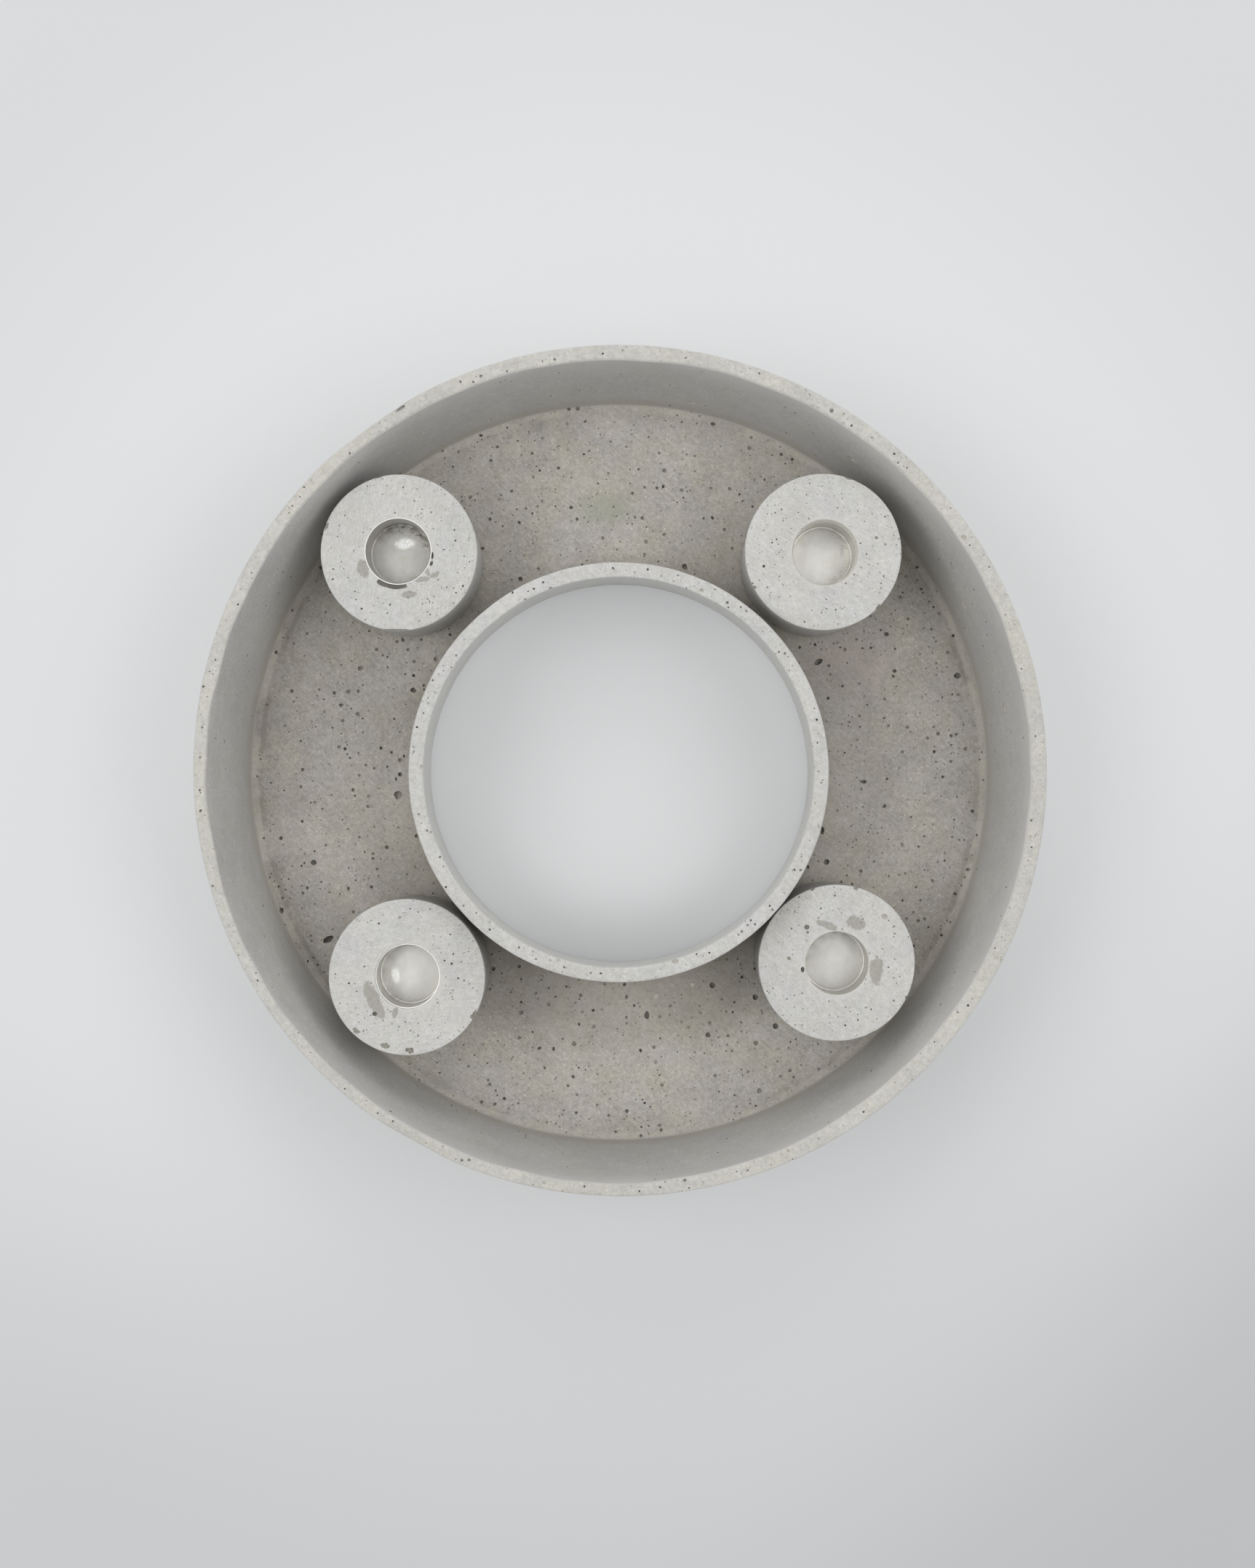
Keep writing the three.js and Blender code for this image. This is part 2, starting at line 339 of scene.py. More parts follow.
class Cutters:
    """Closed blobs that are cut out of a piece together. One that would overlap another is left out."""

    # Facets round a blob for each millimetre of its reach, and the fewest and the most that it has
    facets_per_mm = 12
    fewest_facets = 7
    most_facets = 36

    def __init__(self, name):
        self.name = name
        self.points = []
        self.faces = []
        self.looks = []
        self.taken = []

    def is_free(self, centre, reach):
        """True if a blob of that reach would overlap none so far."""
        if not self.taken:
            return True
        taken = np.array(self.taken)
        return bool((np.linalg.norm(taken[:, :3] - centre, axis=1) > taken[:, 3] + reach).all())

    def add_ball(self, centre, radii, turn=Matrix.Identity(3), wobble=0.0, look=PIT):
        """A ball stretched to the three radii and turned, with finer facets where it is larger."""
        reach = max(radii) * (1 + wobble)
        if not self.is_free(np.array(centre), reach):
            return
        self.taken.append((*centre, reach))
        segments = int(min(self.most_facets, max(self.fewest_facets, reach / MM * self.facets_per_mm)))
        rings = max(4, segments // 2)
        first = len(self.points)
        seed = Vector(centre) * 900
        for q in range(rings + 1):
            polar = math.pi * q / rings
            for w in range(segments if 0 < q < rings else 1):
                around = 2 * math.pi * w / segments
                flat = math.sin(polar)
                way = Vector((flat * math.cos(around), flat * math.sin(around), math.cos(polar)))
                lumps = [noise.noise(way * waves + seed) / waves for waves in (1.3, 3.1, 7.0)]
                swell = 1 + wobble * 1.4 * sum(lumps)
                local = Vector(part * radius for part, radius in zip(way, radii)) * swell
                self.points.append(Vector(centre) + turn @ local)
        last = len(self.points) - 1
        for w in range(segments):
            step = (w + 1) % segments
            self.faces.append((first, first + 1 + w, first + 1 + step))
            for q in range(rings - 2):
                row = first + 1 + q * segments
                self.faces.append((row + w, row + segments + w, row + segments + step, row + step))
            row = last - segments
            self.faces.append((row + w, last, row + step))
        self.looks += [look] * (len(self.faces) - len(self.looks))

    def cut_from(self, piece, materials):
        """Cuts the blobs out of a piece. The cut faces take these materials by the blobs' looks."""
        mesh = bpy.data.meshes.new(self.name)
        mesh.from_pydata([p[:] for p in self.points], [], self.faces)
        for material in materials:
            mesh.materials.append(material)
        mesh.polygons.foreach_set("material_index", self.looks)
        blobs = bpy.data.objects.new(self.name, mesh)
        bpy.context.scene.collection.objects.link(blobs)
        cut = piece.modifiers.new("Cut", "BOOLEAN")
        cut.operation = "DIFFERENCE"
        cut.solver = "MANIFOLD"
        cut.material_mode = "TRANSFER"
        cut.object = blobs
        seen = piece.evaluated_get(bpy.context.evaluated_depsgraph_get())
        whole = piece.data
        piece.data = bpy.data.meshes.new_from_object(seen)
        piece.data.name = whole.name
        piece.modifiers.clear()
        bpy.data.objects.remove(blobs)
        bpy.data.meshes.remove(mesh)
        bpy.data.meshes.remove(whole)


def finish_shading(piece, degrees=35):
    """Smooth shading with the sharp edges kept sharp."""
    piece.data.shade_smooth()
    piece.data.set_sharp_from_angle(angle=math.radians(degrees))


def hole_width(draw, look, largest=2.4 * MM):
    """Width of one air hole's mouth: most are small, and a few are much larger."""
    spread = look.hole_spread * (2.4 if draw.random() < 0.03 else 1)
    return min(look.smallest_hole + draw.expovariate(1 / spread), largest)


def add_hole(cutters, place, outward, width, draw):
    """An air hole: a bubble just under the surface whose top is sanded away."""
    radius = width / 2 * draw.uniform(1.0, 1.12)
    sunk = math.sqrt(radius * radius - width * width / 4) * draw.choice((-0.5, 1, 1))
    radii = (radius * draw.uniform(0.8, 1.15), radius * draw.uniform(0.8, 1.15), radius)
    tilt = Vector((0, 0, 1)).rotation_difference(Vector(outward)).to_matrix()
    spin = Matrix.Rotation(draw.uniform(0, math.pi), 3, "Z")
    look = draw.choice((PIT, PIT, PIT, DEEP, DEEP, PALE))
    cutters.add_ball(Vector(place) - Vector(outward) * sunk, radii, tilt @ spin, wobble=0.2, look=look)


def crowding(place, size=14 * MM):
    """How crowded the air holes are round a place, from 0 to 1."""
    return 0.5 + 0.5 * math.tanh(3.2 * noise.noise(Vector(place) / size))


def beside(middle, right, back):
    """The place that many millimetres to the right of a middle and behind it."""
    return middle + Vector((right * MM, back * MM, 0))


def set_inputs(tree, node, inputs):
    """Links or sets the inputs of a node, given as (name or number, value or socket) pairs."""
    for name, value in inputs:
        if isinstance(value, bpy.types.NodeSocket):
            tree.links.new(value, node.inputs[name])
        else:
            node.inputs[name].default_value = value


def node_after(tree, kind, inputs=(), **settings):
    """Adds a node with these settings. Its inputs are (name or number, value or socket) pairs."""
    made = tree.nodes.new(kind)
    for name, value in settings.items():
        setattr(made, name, value)
    set_inputs(tree, made, inputs)
    return made


def calc(tree, operation, *values):
    """Output of a Math node."""
    return node_after(tree, "ShaderNodeMath", enumerate(values), operation=operation).outputs[0]


def product(tree, first, second):
    """One value times another."""
    return calc(tree, "MULTIPLY", first, second)


def vector_calc(tree, operation, *values):
    """Output of a Vector Math node."""
    made = node_after(tree, "ShaderNodeVectorMath", enumerate(values), operation=operation)
    return made.outputs["Value" if operation in ("LENGTH", "DOT_PRODUCT") else "Vector"]


def parts_of(tree, vector):
    """The X, Y and Z of a vector."""
    return node_after(tree, "ShaderNodeSeparateXYZ", ((0, vector),)).outputs


def ramp(tree, value, low, high, to_low=0.0, to_high=1.0):
    """A value taken smoothly from one range to another."""
    pairs = zip(range(5), (value, low, high, to_low, to_high))
    settings = {"interpolation_type": "SMOOTHSTEP", "clamp": True}
    return node_after(tree, "ShaderNodeMapRange", pairs, **settings).outputs[0]


def mix_colour(tree, mode, factor, first, second):
    """Output of a Mix node for colours."""
    pairs = ((0, factor), (6, first), (7, second))
    return node_after(tree, "ShaderNodeMix", pairs, data_type="RGBA", blend_type=mode).outputs[2]


def laid_over(tree, paint, cover, share):
    """A paint with a share of another colour over it."""
    return mix_colour(tree, "MIX", share, paint, (*cover, 1))


def noise_node(tree, vector, size, detail=2.0, roughness=0.5):
    """A noise texture whose features have that size."""
    pairs = (("Vector", vector), ("Scale", 1 / size), ("Detail", detail), ("Roughness", roughness))
    return node_after(tree, "ShaderNodeTexNoise", pairs)


def noise_of(tree, vector, size, detail=2.0, roughness=0.5):
    """A noise from 0 to 1 whose features have that size."""
    return noise_node(tree, vector, size, detail, roughness).outputs[0]


def swing_of(tree, vector, size, detail=2.0, roughness=0.5):
    """A noise from -0.5 to 0.5 whose features have that size."""
    return calc(tree, "SUBTRACT", noise_of(tree, vector, size, detail, roughness), 0.5)


def cells_of(tree, vector, spacing):
    """Cells that far apart: the share of the spacing from a cell's middle, and the cell's chances."""
    scale = calc(tree, "DIVIDE", 1.0, spacing)
    cells = node_after(tree, "ShaderNodeTexVoronoi", (("Vector", vector), ("Scale", scale)))
    chances = node_after(tree, "ShaderNodeSeparateColor", (("Color", cells.outputs["Color"]),)).outputs
    return cells.outputs["Distance"], chances


def distance_of(tree, x, y):
    """Distance from the axis, by the way to the right and the way back."""
    return calc(tree, "SQRT", calc(tree, "MULTIPLY_ADD", x, x, product(tree, y, y)))


def add_relief(tree, shader, height, depth):
    """Bumps a surface by a height, which stands for that depth where it is 1."""
    relief = node_after(tree, "ShaderNodeBump", (("Strength", 1.0), ("Distance", depth), ("Height", height)))
    tree.links.new(relief.outputs[0], shader.inputs["Normal"])


def turned(tree, vector, angle):
    """Coordinates turned about Z."""
    pairs = (("Vector", vector), ("Angle", angle))
    return node_after(tree, "ShaderNodeVectorRotate", pairs, rotation_type="Z_AXIS").outputs[0]


def new_group(name, inputs, outputs):
    """An empty shader node group with these sockets, as (name, type, default) triples."""
    group = bpy.data.node_groups.new(name, "ShaderNodeTree")
    for direction, sockets in (("INPUT", inputs), ("OUTPUT", outputs)):
        for label, kind, *default in sockets:
            socket = group.interface.new_socket(name=label, in_out=direction, socket_type=kind)
            if default:
                socket.default_value = default[0]
    return group, group.nodes.new("NodeGroupInput"), group.nodes.new("NodeGroupOutput")


def cement_mottling():
    """Mottling at every size from a grain of sand to a few centimetres. Colour is near white, warmer
    here and cooler there, and Height is near 0."""
    group, given, out = new_group(
        "Cement mottling",
        [
            ("Vector", "NodeSocketVector"),
            ("Grain", "NodeSocketFloat", 0.4),
            ("Clouds", "NodeSocketFloat", 0.3),
            ("Tint", "NodeSocketFloat", 0.1),
        ],
        [("Colour", "NodeSocketColor"), ("Height", "NodeSocketFloat")],
    )
    vector = given.outputs["Vector"]
    grain = swing_of(group, vector, 1.7 * MM, 3.0, 1.0)
    clouds = swing_of(group, vector, 27 * MM, 3.0, 0.95)
    shade = calc(group, "MULTIPLY_ADD", grain, given.outputs["Grain"], 1.0)
    shade = calc(group, "MULTIPLY_ADD", clouds, given.outputs["Clouds"], shade)
    tones = noise_node(group, vector, 17 * MM, 4.0, 0.75).outputs["Color"]
    warm, green, _ = parts_of(group, vector_calc(group, "SUBTRACT", tones, (0.5, 0.5, 0.5)))
    green = calc(group, "MULTIPLY_ADD", green, 0.2, product(group, warm, 0.5))
    pairs = ((0, product(group, warm, 0.6)), (1, green), (2, product(group, warm, -1.0)))
    tones = node_after(group, "ShaderNodeCombineXYZ", pairs).outputs[0]
    coloured = vector_calc(group, "MULTIPLY_ADD", tones, given.outputs["Tint"], shade)
    group.links.new(coloured, out.inputs["Colour"])
    group.links.new(calc(group, "MULTIPLY_ADD", clouds, 0.5, grain), out.inputs["Height"])
    return group


def pin_holes():
    """Air holes too small to cut, some shallow and some deep. Mask is up to 1 in a hole, where it is painted
    dark: the holes' inside colour with painted shade.
    """
    group, given, out = new_group(
        "Pin holes",
        [
            ("Vector", "NodeSocketVector"),
            ("Spacing", "NodeSocketFloat", 2.4 * MM),
            ("Radius", "NodeSocketFloat", 0.28 * MM),
        ],
        [("Mask", "NodeSocketFloat")],
    )
    vector = given.outputs["Vector"]
    ragged = noise_node(group, vector, 0.5 * MM).outputs["Color"]
    ragged = vector_calc(group, "SUBTRACT", ragged, (0.5, 0.5, 0.5))
    vector = vector_calc(group, "MULTIPLY_ADD", ragged, (0.4 * MM,) * 3, vector)
    distance, chance = cells_of(group, vector, given.outputs["Spacing"])
    away = product(group, distance, given.outputs["Spacing"])
    size = calc(group, "MULTIPLY_ADD", calc(group, "POWER", chance[0], 2.0), 0.9, 0.25)
    share = calc(group, "DIVIDE", away, product(group, given.outputs["Radius"], size))
    depth = calc(group, "MULTIPLY_ADD", chance[1], 0.75, 0.25)
    group.links.new(product(group, ramp(group, share, 1.1, 0.6), depth), out.inputs["Mask"])
    return group


def sanding_marks():
    """Fine scratches in two directions, each stronger in its own places. Shade is near 0."""
    group, given, out = new_group(
        "Sanding marks",
        [("Vector", "NodeSocketVector"), ("Angle", "NodeSocketFloat"), ("Length", "NodeSocketFloat", 16.0)],
        [("Shade", "NodeSocketFloat")],
    )
    vector = given.outputs["Vector"]
    along = calc(group, "DIVIDE", 1.0, given.outputs["Length"])
    scale = node_after(group, "ShaderNodeCombineXYZ", ((0, along), (1, 1.0), (2, 1.0))).outputs[0]
    where = noise_of(group, vector, 12 * MM, 3.0)
    lines = []
    for more, low, high, share in ((0.0, 0.36, 0.6, 1.0), (0.5, 0.64, 0.42, 0.5)):
        angle = calc(group, "ADD", given.outputs["Angle"], more)
        drawn = vector_calc(group, "MULTIPLY", turned(group, vector, angle), scale)
        marks = swing_of(group, drawn, 0.55 * MM, 3.0, 0.8)
        lines.append(product(group, marks, ramp(group, where, low, high, 0.15, share)))
    group.links.new(calc(group, "ADD", *lines), out.inputs["Shade"])
    return group


def light_flecks():
    """Pale grains, which on the cast walls also stand for painted glints: the lit lower lips of small air
    holes. Mask is 1 in a grain.
    """
    group, given, out = new_group(
        "Light flecks",
        [("Vector", "NodeSocketVector"), ("Size", "NodeSocketFloat", 2.5 * MM)],
        [("Mask", "NodeSocketFloat")],
    )
    distance, chance = cells_of(group, given.outputs["Vector"], given.outputs["Size"])
    near = ramp(group, distance, 0.21, 0.1)
    group.links.new(product(group, near, ramp(group, chance[1], 0.25, 0.9)), out.inputs["Mask"])
    return group


def stain():
    """A long patch with an uneven edge on a level face. Mask is 1 inside it."""
    group, given, out = new_group(
        "Stain",
        [
            ("Vector", "NodeSocketVector"),
            ("Centre", "NodeSocketVector"),
            ("Angle", "NodeSocketFloat"),
            ("Half length", "NodeSocketFloat", 4 * MM),
            ("Half width", "NodeSocketFloat", 2 * MM),
            ("Ragged", "NodeSocketFloat", 1.0),
            ("Softness", "NodeSocketFloat", 0.15),
        ],
        [("Mask", "NodeSocketFloat")],
    )
    vector = given.outputs["Vector"]
    local = vector_calc(group, "SUBTRACT", vector, given.outputs["Centre"])
    local = parts_of(group, turned(group, local, product(group, given.outputs["Angle"], -1.0)))
    along = calc(group, "DIVIDE", local[0], given.outputs["Half length"])
    across = calc(group, "DIVIDE", local[1], given.outputs["Half width"])
    away = distance_of(group, along, across)
    uneven = swing_of(group, vector, 2.6 * MM, 4.0, 0.75)
    away = calc(group, "MULTIPLY_ADD", uneven, given.outputs["Ragged"], away)
    inner = calc(group, "SUBTRACT", 1.0, given.outputs["Softness"])
    outer = calc(group, "ADD", 1.0, given.outputs["Softness"])
    group.links.new(ramp(group, away, outer, inner), out.inputs["Mask"])
    return group


def cup_wear():
    """Dirt and dulling of a cup, by the place from the middle of its floor. Grime lies along the edge
    of the floor and on the foot of the wall, towards one bearing."""
    group, given, out = new_group(
        "Cup wear",
        [("Vector", "NodeSocketVector"), ("Bearing", "NodeSocketFloat")],
        [("Grime", "NodeSocketFloat"), ("Dulling", "NodeSocketFloat"), ("Height", "NodeSocketFloat")],
    )
    vector = given.outputs["Vector"]
    x, y, z = parts_of(group, vector)
    away = distance_of(group, x, y)
    side = calc(group, "SUBTRACT", calc(group, "ARCTAN2", y, x), given.outputs["Bearing"])
    towards = ramp(group, calc(group, "COSINE", side), -0.1, 0.8, 0.1, 1.0)
    near_edge = product(group, ramp(group, away, 6.5 * MM, 10 * MM), ramp(group, z, 4 * MM, 1 * MM))
    specks = ramp(group, noise_of(group, vector, 1.3 * MM, 4.0, 0.7), 0.54, 0.63)
    clouds = ramp(group, noise_of(group, vector, 4 * MM, 3.0, 0.6), 0.4, 0.7, 0.0, 0.6)
    dirt = calc(group, "MAXIMUM", specks, clouds)
    dirt = product(group, product(group, dirt, near_edge), towards)
    group.links.new(dirt, out.inputs["Grime"])
    dull = ramp(group, noise_of(group, vector, 3.2 * MM, 4.0, 0.7), 0.3, 0.72)
    group.links.new(dull, out.inputs["Dulling"])
    group.links.new(noise_of(group, vector, 0.5 * MM, 3.0, 0.7), out.inputs["Height"])
    return group


def group_node(tree, build, inputs):
    """A node that holds the node group that a function builds, which is made once."""
    name = build.__name__.replace("_", " ").capitalize()
    made = tree.nodes.new("ShaderNodeGroup")
    made.node_tree = bpy.data.node_groups.get(name) or build()
    set_inputs(tree, made, inputs)
    return made


def new_material(name):
    """A material with its tree, its Principled shader and the coordinates of the piece."""
    material = bpy.data.materials.new(name)
    material.use_nodes = True
    tree = material.node_tree
    shader = tree.nodes["Principled BSDF"]
    vector = tree.nodes.new("ShaderNodeTexCoord").outputs["Object"]
    return material, tree, shader, vector


def stain_mask(tree, vector, centre, half_length, half_width, degrees, ragged=1.0, softness=0.15):
    """Mask of one stain. Its sizes are in metres."""
    inputs = (
        ("Vector", vector), ("Centre", centre), ("Angle", math.radians(degrees)),
        ("Half length", half_length), ("Half width", half_width), ("Ragged", ragged), ("Softness", softness),
    )
    return group_node(tree, stain, inputs).outputs["Mask"]


def concrete(name, base, grain, clouds, tint, pins=None, scratch=None, flecks=(), bump=0.1 * MM, dress=None):
    """Concrete with mottling, and where given pin holes with painted shade (spacing, radius), scratches
    (angle, amount) and pale flecks with painted glints (amount, size). Dress is a function that adds to the
    paint and the height."""
    material, tree, shader, vector = new_material(name)
    look = bpy.context.scene.concrete_look
    mottling = group_node(
        tree, cement_mottling, (("Vector", vector), ("Grain", grain), ("Clouds", clouds), ("Tint", tint))
    )
    height = mottling.outputs["Height"]
    paint = mix_colour(tree, "MULTIPLY", 1.0, (*base, 1), mottling.outputs["Colour"])
    if scratch:
        marks = group_node(tree, sanding_marks, (("Vector", vector), ("Angle", scratch[0]))).outputs["Shade"]
        shade = calc(tree, "MULTIPLY_ADD", marks, scratch[1], 1.0)
        paint = vector_calc(tree, "SCALE", paint)
        tree.links.new(shade, paint.node.inputs["Scale"])
        height = calc(tree, "MULTIPLY_ADD", marks, 1.2, height)
    if flecks:
        # Pale grains; on the walls they are painted glints of the lit lower lips of small air holes
        grains = group_node(tree, light_flecks, (("Vector", vector), ("Size", flecks[1]))).outputs["Mask"]
        grains = product(tree, grains, flecks[0])
        paint = laid_over(tree, paint, look.flecks, grains)
    if dress:
        paint, height = dress(tree, vector, paint, height)
    if pins:
        inputs = (("Vector", vector), ("Spacing", pins[0]), ("Radius", pins[1]))
        holes = group_node(tree, pin_holes, inputs).outputs["Mask"]
        # The pin holes' dark colour is partly their inside colour and partly painted shade inside them
        paint = laid_over(tree, paint, look.deep, holes)
        height = calc(tree, "MULTIPLY_ADD", holes, -1.6, height)
    tree.links.new(paint, shader.inputs["Base Color"])
    tree.links.new(ramp(tree, mottling.outputs["Height"], -0.2, 0.2, 0.97, 0.8), shader.inputs["Roughness"])
    shader.inputs["Specular IOR Level"].default_value = 0.3
    add_relief(tree, shader, height, bump)
    return material


def cut_finishes(name):
    """Materials for what cutters leave, in the order of their looks."""
    look = bpy.context.scene.concrete_look
    return (
        concrete(f"{name} air hole", look.pit, 0.5, 0.3, 0.1),
        concrete(f"{name} deep air hole", look.deep, 0.5, 0.3, 0.1),
        concrete(f"{name} shallow air hole", look.pale, 0.4, 0.3, 0.1),
        concrete(f"{name} broken edge", look.broken, 1.2, 0.4, 0.15, bump=0.25 * MM),
    )


class HOLDER_OT_ring_tray(bpy.types.Operator):
    """Adds the ring tray: one concrete casting with a deep trough"""

    bl_idname = "holder.ring_tray"
    bl_label = "Ring tray"

    # Air holes of the trough's floor, as read in the picture: across, down and width in pixels
    round_holes = (
        (646, 684, 5.4), (723, 699, 4), (913, 647, 6), (836, 651, 4), (886, 670, 4.5), (861, 614, 4),
        (906, 623, 4), (608, 620, 4), (630, 621, 4), (810, 620, 4), (740, 782, 5), (495, 919, 7),
        (479, 951, 6), (492, 982, 6), (471, 991, 5), (466, 1027, 5), (599, 906, 6), (518, 893, 5),
        (546, 882, 5), (561, 893, 4.5), (422, 871, 4.5), (402, 839, 4), (547, 1093, 11), (550, 1045, 6),
        (503, 1052, 4.5), (494, 1066, 4.5), (506, 1109, 5), (433, 1103, 4), (439, 948, 4), (448, 1162, 4),
        (513, 1174, 4.5), (486, 1254, 5), (427, 1287, 3.5), (428, 1294, 3.5), (431, 1317, 4),
        (716, 1392, 6.5), (831, 1353, 4.5), (907, 1398, 5), (1001, 1424, 5), (789, 1435, 6.5),
        (899, 1440, 5), (673, 1491, 5), (910, 1492, 5), (1006, 1445, 4), (921, 1383, 4.5), (576, 1485, 3.5),
        (1327, 1030, 5.5), (1307, 1047, 4.5), (1275, 1015, 5), (1240, 1034, 5), (1240, 1161, 4),
        (1236, 1203, 3.5), (1244, 1201, 3.5), (1183, 1198, 5.5), (1201, 1185, 4), (1309, 1151, 4),
        (1270, 1150, 4), (1265, 1238, 4), (1262, 1266, 5), (1246, 1263, 4), (1039, 1434, 6.5),
        (1044, 1500, 7), (1086, 1472, 5), (1073, 1480, 4.5), (1091, 1481, 4), (1003, 672, 5),
        (996, 728, 5), (1007, 754, 4.5), (886, 762, 4), (1161, 893, 5), (1177, 879, 4), (1141, 927, 4),
        (1303, 897, 5), (1295, 924, 3), (1287, 928, 3), (1302, 917, 3), (1317, 955, 4), (1181, 940, 4),
        (1221, 998, 4.5), (1247, 1000, 4.5), (1237, 821, 5), (1245, 792, 4), (782, 562, 6), (794, 562, 6),
    )

    # Dark deep ones: across, down, width and height in pixels, tilt in degrees
    deep_holes = (
        (903, 671, 4.5, 4.5, 0), (715, 796, 6, 6, 0), (941, 779, 7.5, 7.5, 0), (568, 949, 8, 7, 0),
        (550, 1065, 6, 6, 0), (532, 1165, 5.5, 5.5, 0), (431, 1186, 7.5, 7.5, 0), (479, 1222, 4, 6, 0),
        (387, 1252, 6, 8, 0), (451, 1292, 16, 8, 32), (423, 1322, 2.5, 5, 0), (678, 1332, 6, 6, 0),
        (979, 1355, 8, 8, 0), (973, 1423, 7, 7, 0), (1219, 1071, 4, 4, 0), (1130, 1142, 6, 11, 0),
        (1136, 1185, 8, 8, 0), (1038, 1371, 7.5, 7.5, 0), (1066, 1411, 8, 8, 0), (980, 583, 7, 5, -10),
        (1218, 872, 7, 6, 0), (1125, 910, 12, 7, 32), (1316, 929, 9, 9, 0), (1138, 960, 5, 5, 0),
        (889, 1396, 7, 11, 0), (761, 1442, 4, 6, 0), (654, 1528, 3, 5, 0), (1187, 1075, 8, 5, 0),
    )

    # Pale shallow ones: across, down, width and height in pixels, tilt in degrees
    shallow_holes = (
        (986, 642, 7, 9, 0), (597, 884, 7, 7, 0), (454, 1185, 5, 5, 0), (951, 1355, 7, 7, 0),
        (902, 1370, 7, 7, 0), (820, 1466, 10, 9, 0), (1186, 1050, 5, 5, 0), (1243, 1173, 12, 9, 0),
        (1261, 963, 17, 14, 0),
    )

    # Air holes of the rims: bearing in degrees, radius, length and width in millimetres
    rim_holes = (
        (59.4, 147.4, 1.5, 1.5), (34.1, 146.8, 2.2, 1.6), (-111, 146.6, 1.2, 1.2), (-111.9, 147.7, 1.1, 1.1),
        (-80.8, 145.9, 1.3, 1.3), (-250.8, 147.3, 1.1, 1.1), (-261.2, 146.7, 1.1, 1.1),
        (-181.9, 147.3, 0.9, 0.9), (-186, 147.3, 0.9, 0.9), (65.3, 70.1, 1.7, 1.3),
        (35.3, 71.8, 1.1, 1.1), (51.4, 72.2, 0.9, 0.9),
        (-73.4, 69.9, 2.6, 1.5), (-53.7, 71.4, 0.8, 0.8), (-97.8, 71.7, 0.8, 0.8), (-105.4, 71.6, 0.9, 0.9),
        (-139, 72.2, 0.8, 0.8), (-154.3, 69.7, 1.0, 1.0), (-162, 69.4, 0.7, 0.7),
        (-181.3, 69.3, 1.7, 1.2), (-215.5, 70.1, 0.8, 0.8), (-241.5, 68.8, 1.2, 0.8),
        (-249.7, 68.8, 1.5, 0.7), (-211.9, 69.2, 0.7, 0.7),
    )

    # Shallow hollows in the trough's outer wall: bearing in degrees, height in millimetres
    wall_hollows = (
        (31.4, 39), (27.4, 39), (25.6, 28), (9.4, 37), (53.2, 36), (78.6, 21), (74.1, 43), (-171, 48),
        (-229.2, 51),
    )

    # Worn stretches of the outer edge: bearing and half length in degrees, depth in millimetres
    worn_edges = ((-118.6, 4.5, 1.2), (125.5, 5.5, 1.4))

    # How far the outside and the hole are out of true: waves round the ring, and their cosine and sine
    # parts in millimetres. One wave is a shift to the side
    outside_waves = ((0, 0.15, 0.0), (1, 0.6, 0.26), (2, 0.16, -0.25))
    hole_waves = ((1, 0.07, -0.36),)

    # Chip of the outer edge: bearing in degrees, way in from the edge and down from the rim, and its
    # depth, half length and half height, in millimetres
    edge_chip = (121, 0.9, 0.7, 0.6, 2.1, 0.5)

    def out_of_true(self, waves, bearing):
        """How far a wall lies outside its circle at each bearing, in millimetres."""
        return sum(c * np.cos(count * bearing) + s * np.sin(count * bearing) for count, c, s in waves)

    def outline(self):
        """Section of the casting, from the foot of the hole round by the outside."""
        s = bpy.context.scene.tray_sizes
        rim, foot = s.rim_height, s.underside
        return rounded_outline(
            [
                (s.hole_foot_radius, foot, s.foot_arris, 3, UNDERSIDE, 13 * MM),
                (s.rim_radius, foot, s.foot_arris, 3, CAST, 10 * MM),
                (s.rim_radius, rim, s.rim_arris, 3, SANDED, 1.1 * MM),
                (s.rim_radius - s.outer_wall_rim, rim, s.soft_arris, 4, CAST, 4.5 * MM),
                (s.trough_outer, s.floor_height, s.fillet, 3, FLOOR, 3.2 * MM),
                (s.trough_inner, s.floor_height, s.fillet, 3, CAST, 8.0 * MM),
                (s.hole_rim_radius + s.inner_wall_rim, rim, s.rim_arris, 3, SANDED, 1.1 * MM),
                (s.hole_rim_radius, rim, s.rim_arris, 3, HOLE, 10 * MM),
            ]
        )

    def warp(self, mesh):
        """Outside, the casting is a little out of round and out of middle, and so is its hole. The soft
        inner edge of the rim wanders, and the outer edge is worn in places."""
        s = bpy.context.scene.tray_sizes
        places = places_of(mesh)
        bearing = np.arctan2(places[:, 1], places[:, 0])
        radius = np.hypot(places[:, 0], places[:, 1])
        below = s.rim_height - places[:, 2]
        outside = self.out_of_true(self.outside_waves, bearing)
        hole = self.out_of_true(self.hole_waves, bearing)
        outwards = np.clip((radius - s.rim_radius) / s.outer_wall_rim + 1, 0, 1)
        change = MM * np.where(radius < s.trough_inner + 1 * MM, hole, outside * outwards)
        inner_edge = s.rim_radius - s.outer_wall_rim
        at_inner_edge = np.clip(1 - np.hypot(radius - inner_edge, below) / (3 * MM), 0, 1)
        change += 0.8 * MM * wander(bearing, 9, 0.5) * at_inner_edge
        at_outer_edge = np.clip(1 - np.hypot(radius - s.rim_radius, below) / (4 * MM), 0, 1)
        for degrees, half, depth in self.worn_edges:
            off = (bearing - math.radians(degrees) + math.pi) % (2 * math.pi) - math.pi
            worn = depth * MM * np.exp(-((off / math.radians(half)) ** 4)) * at_outer_edge
            change -= worn * 0.25
            places[:, 2] -= worn
        places[:, :2] *= (1 + change / radius)[:, None]
        move_to(mesh, places)

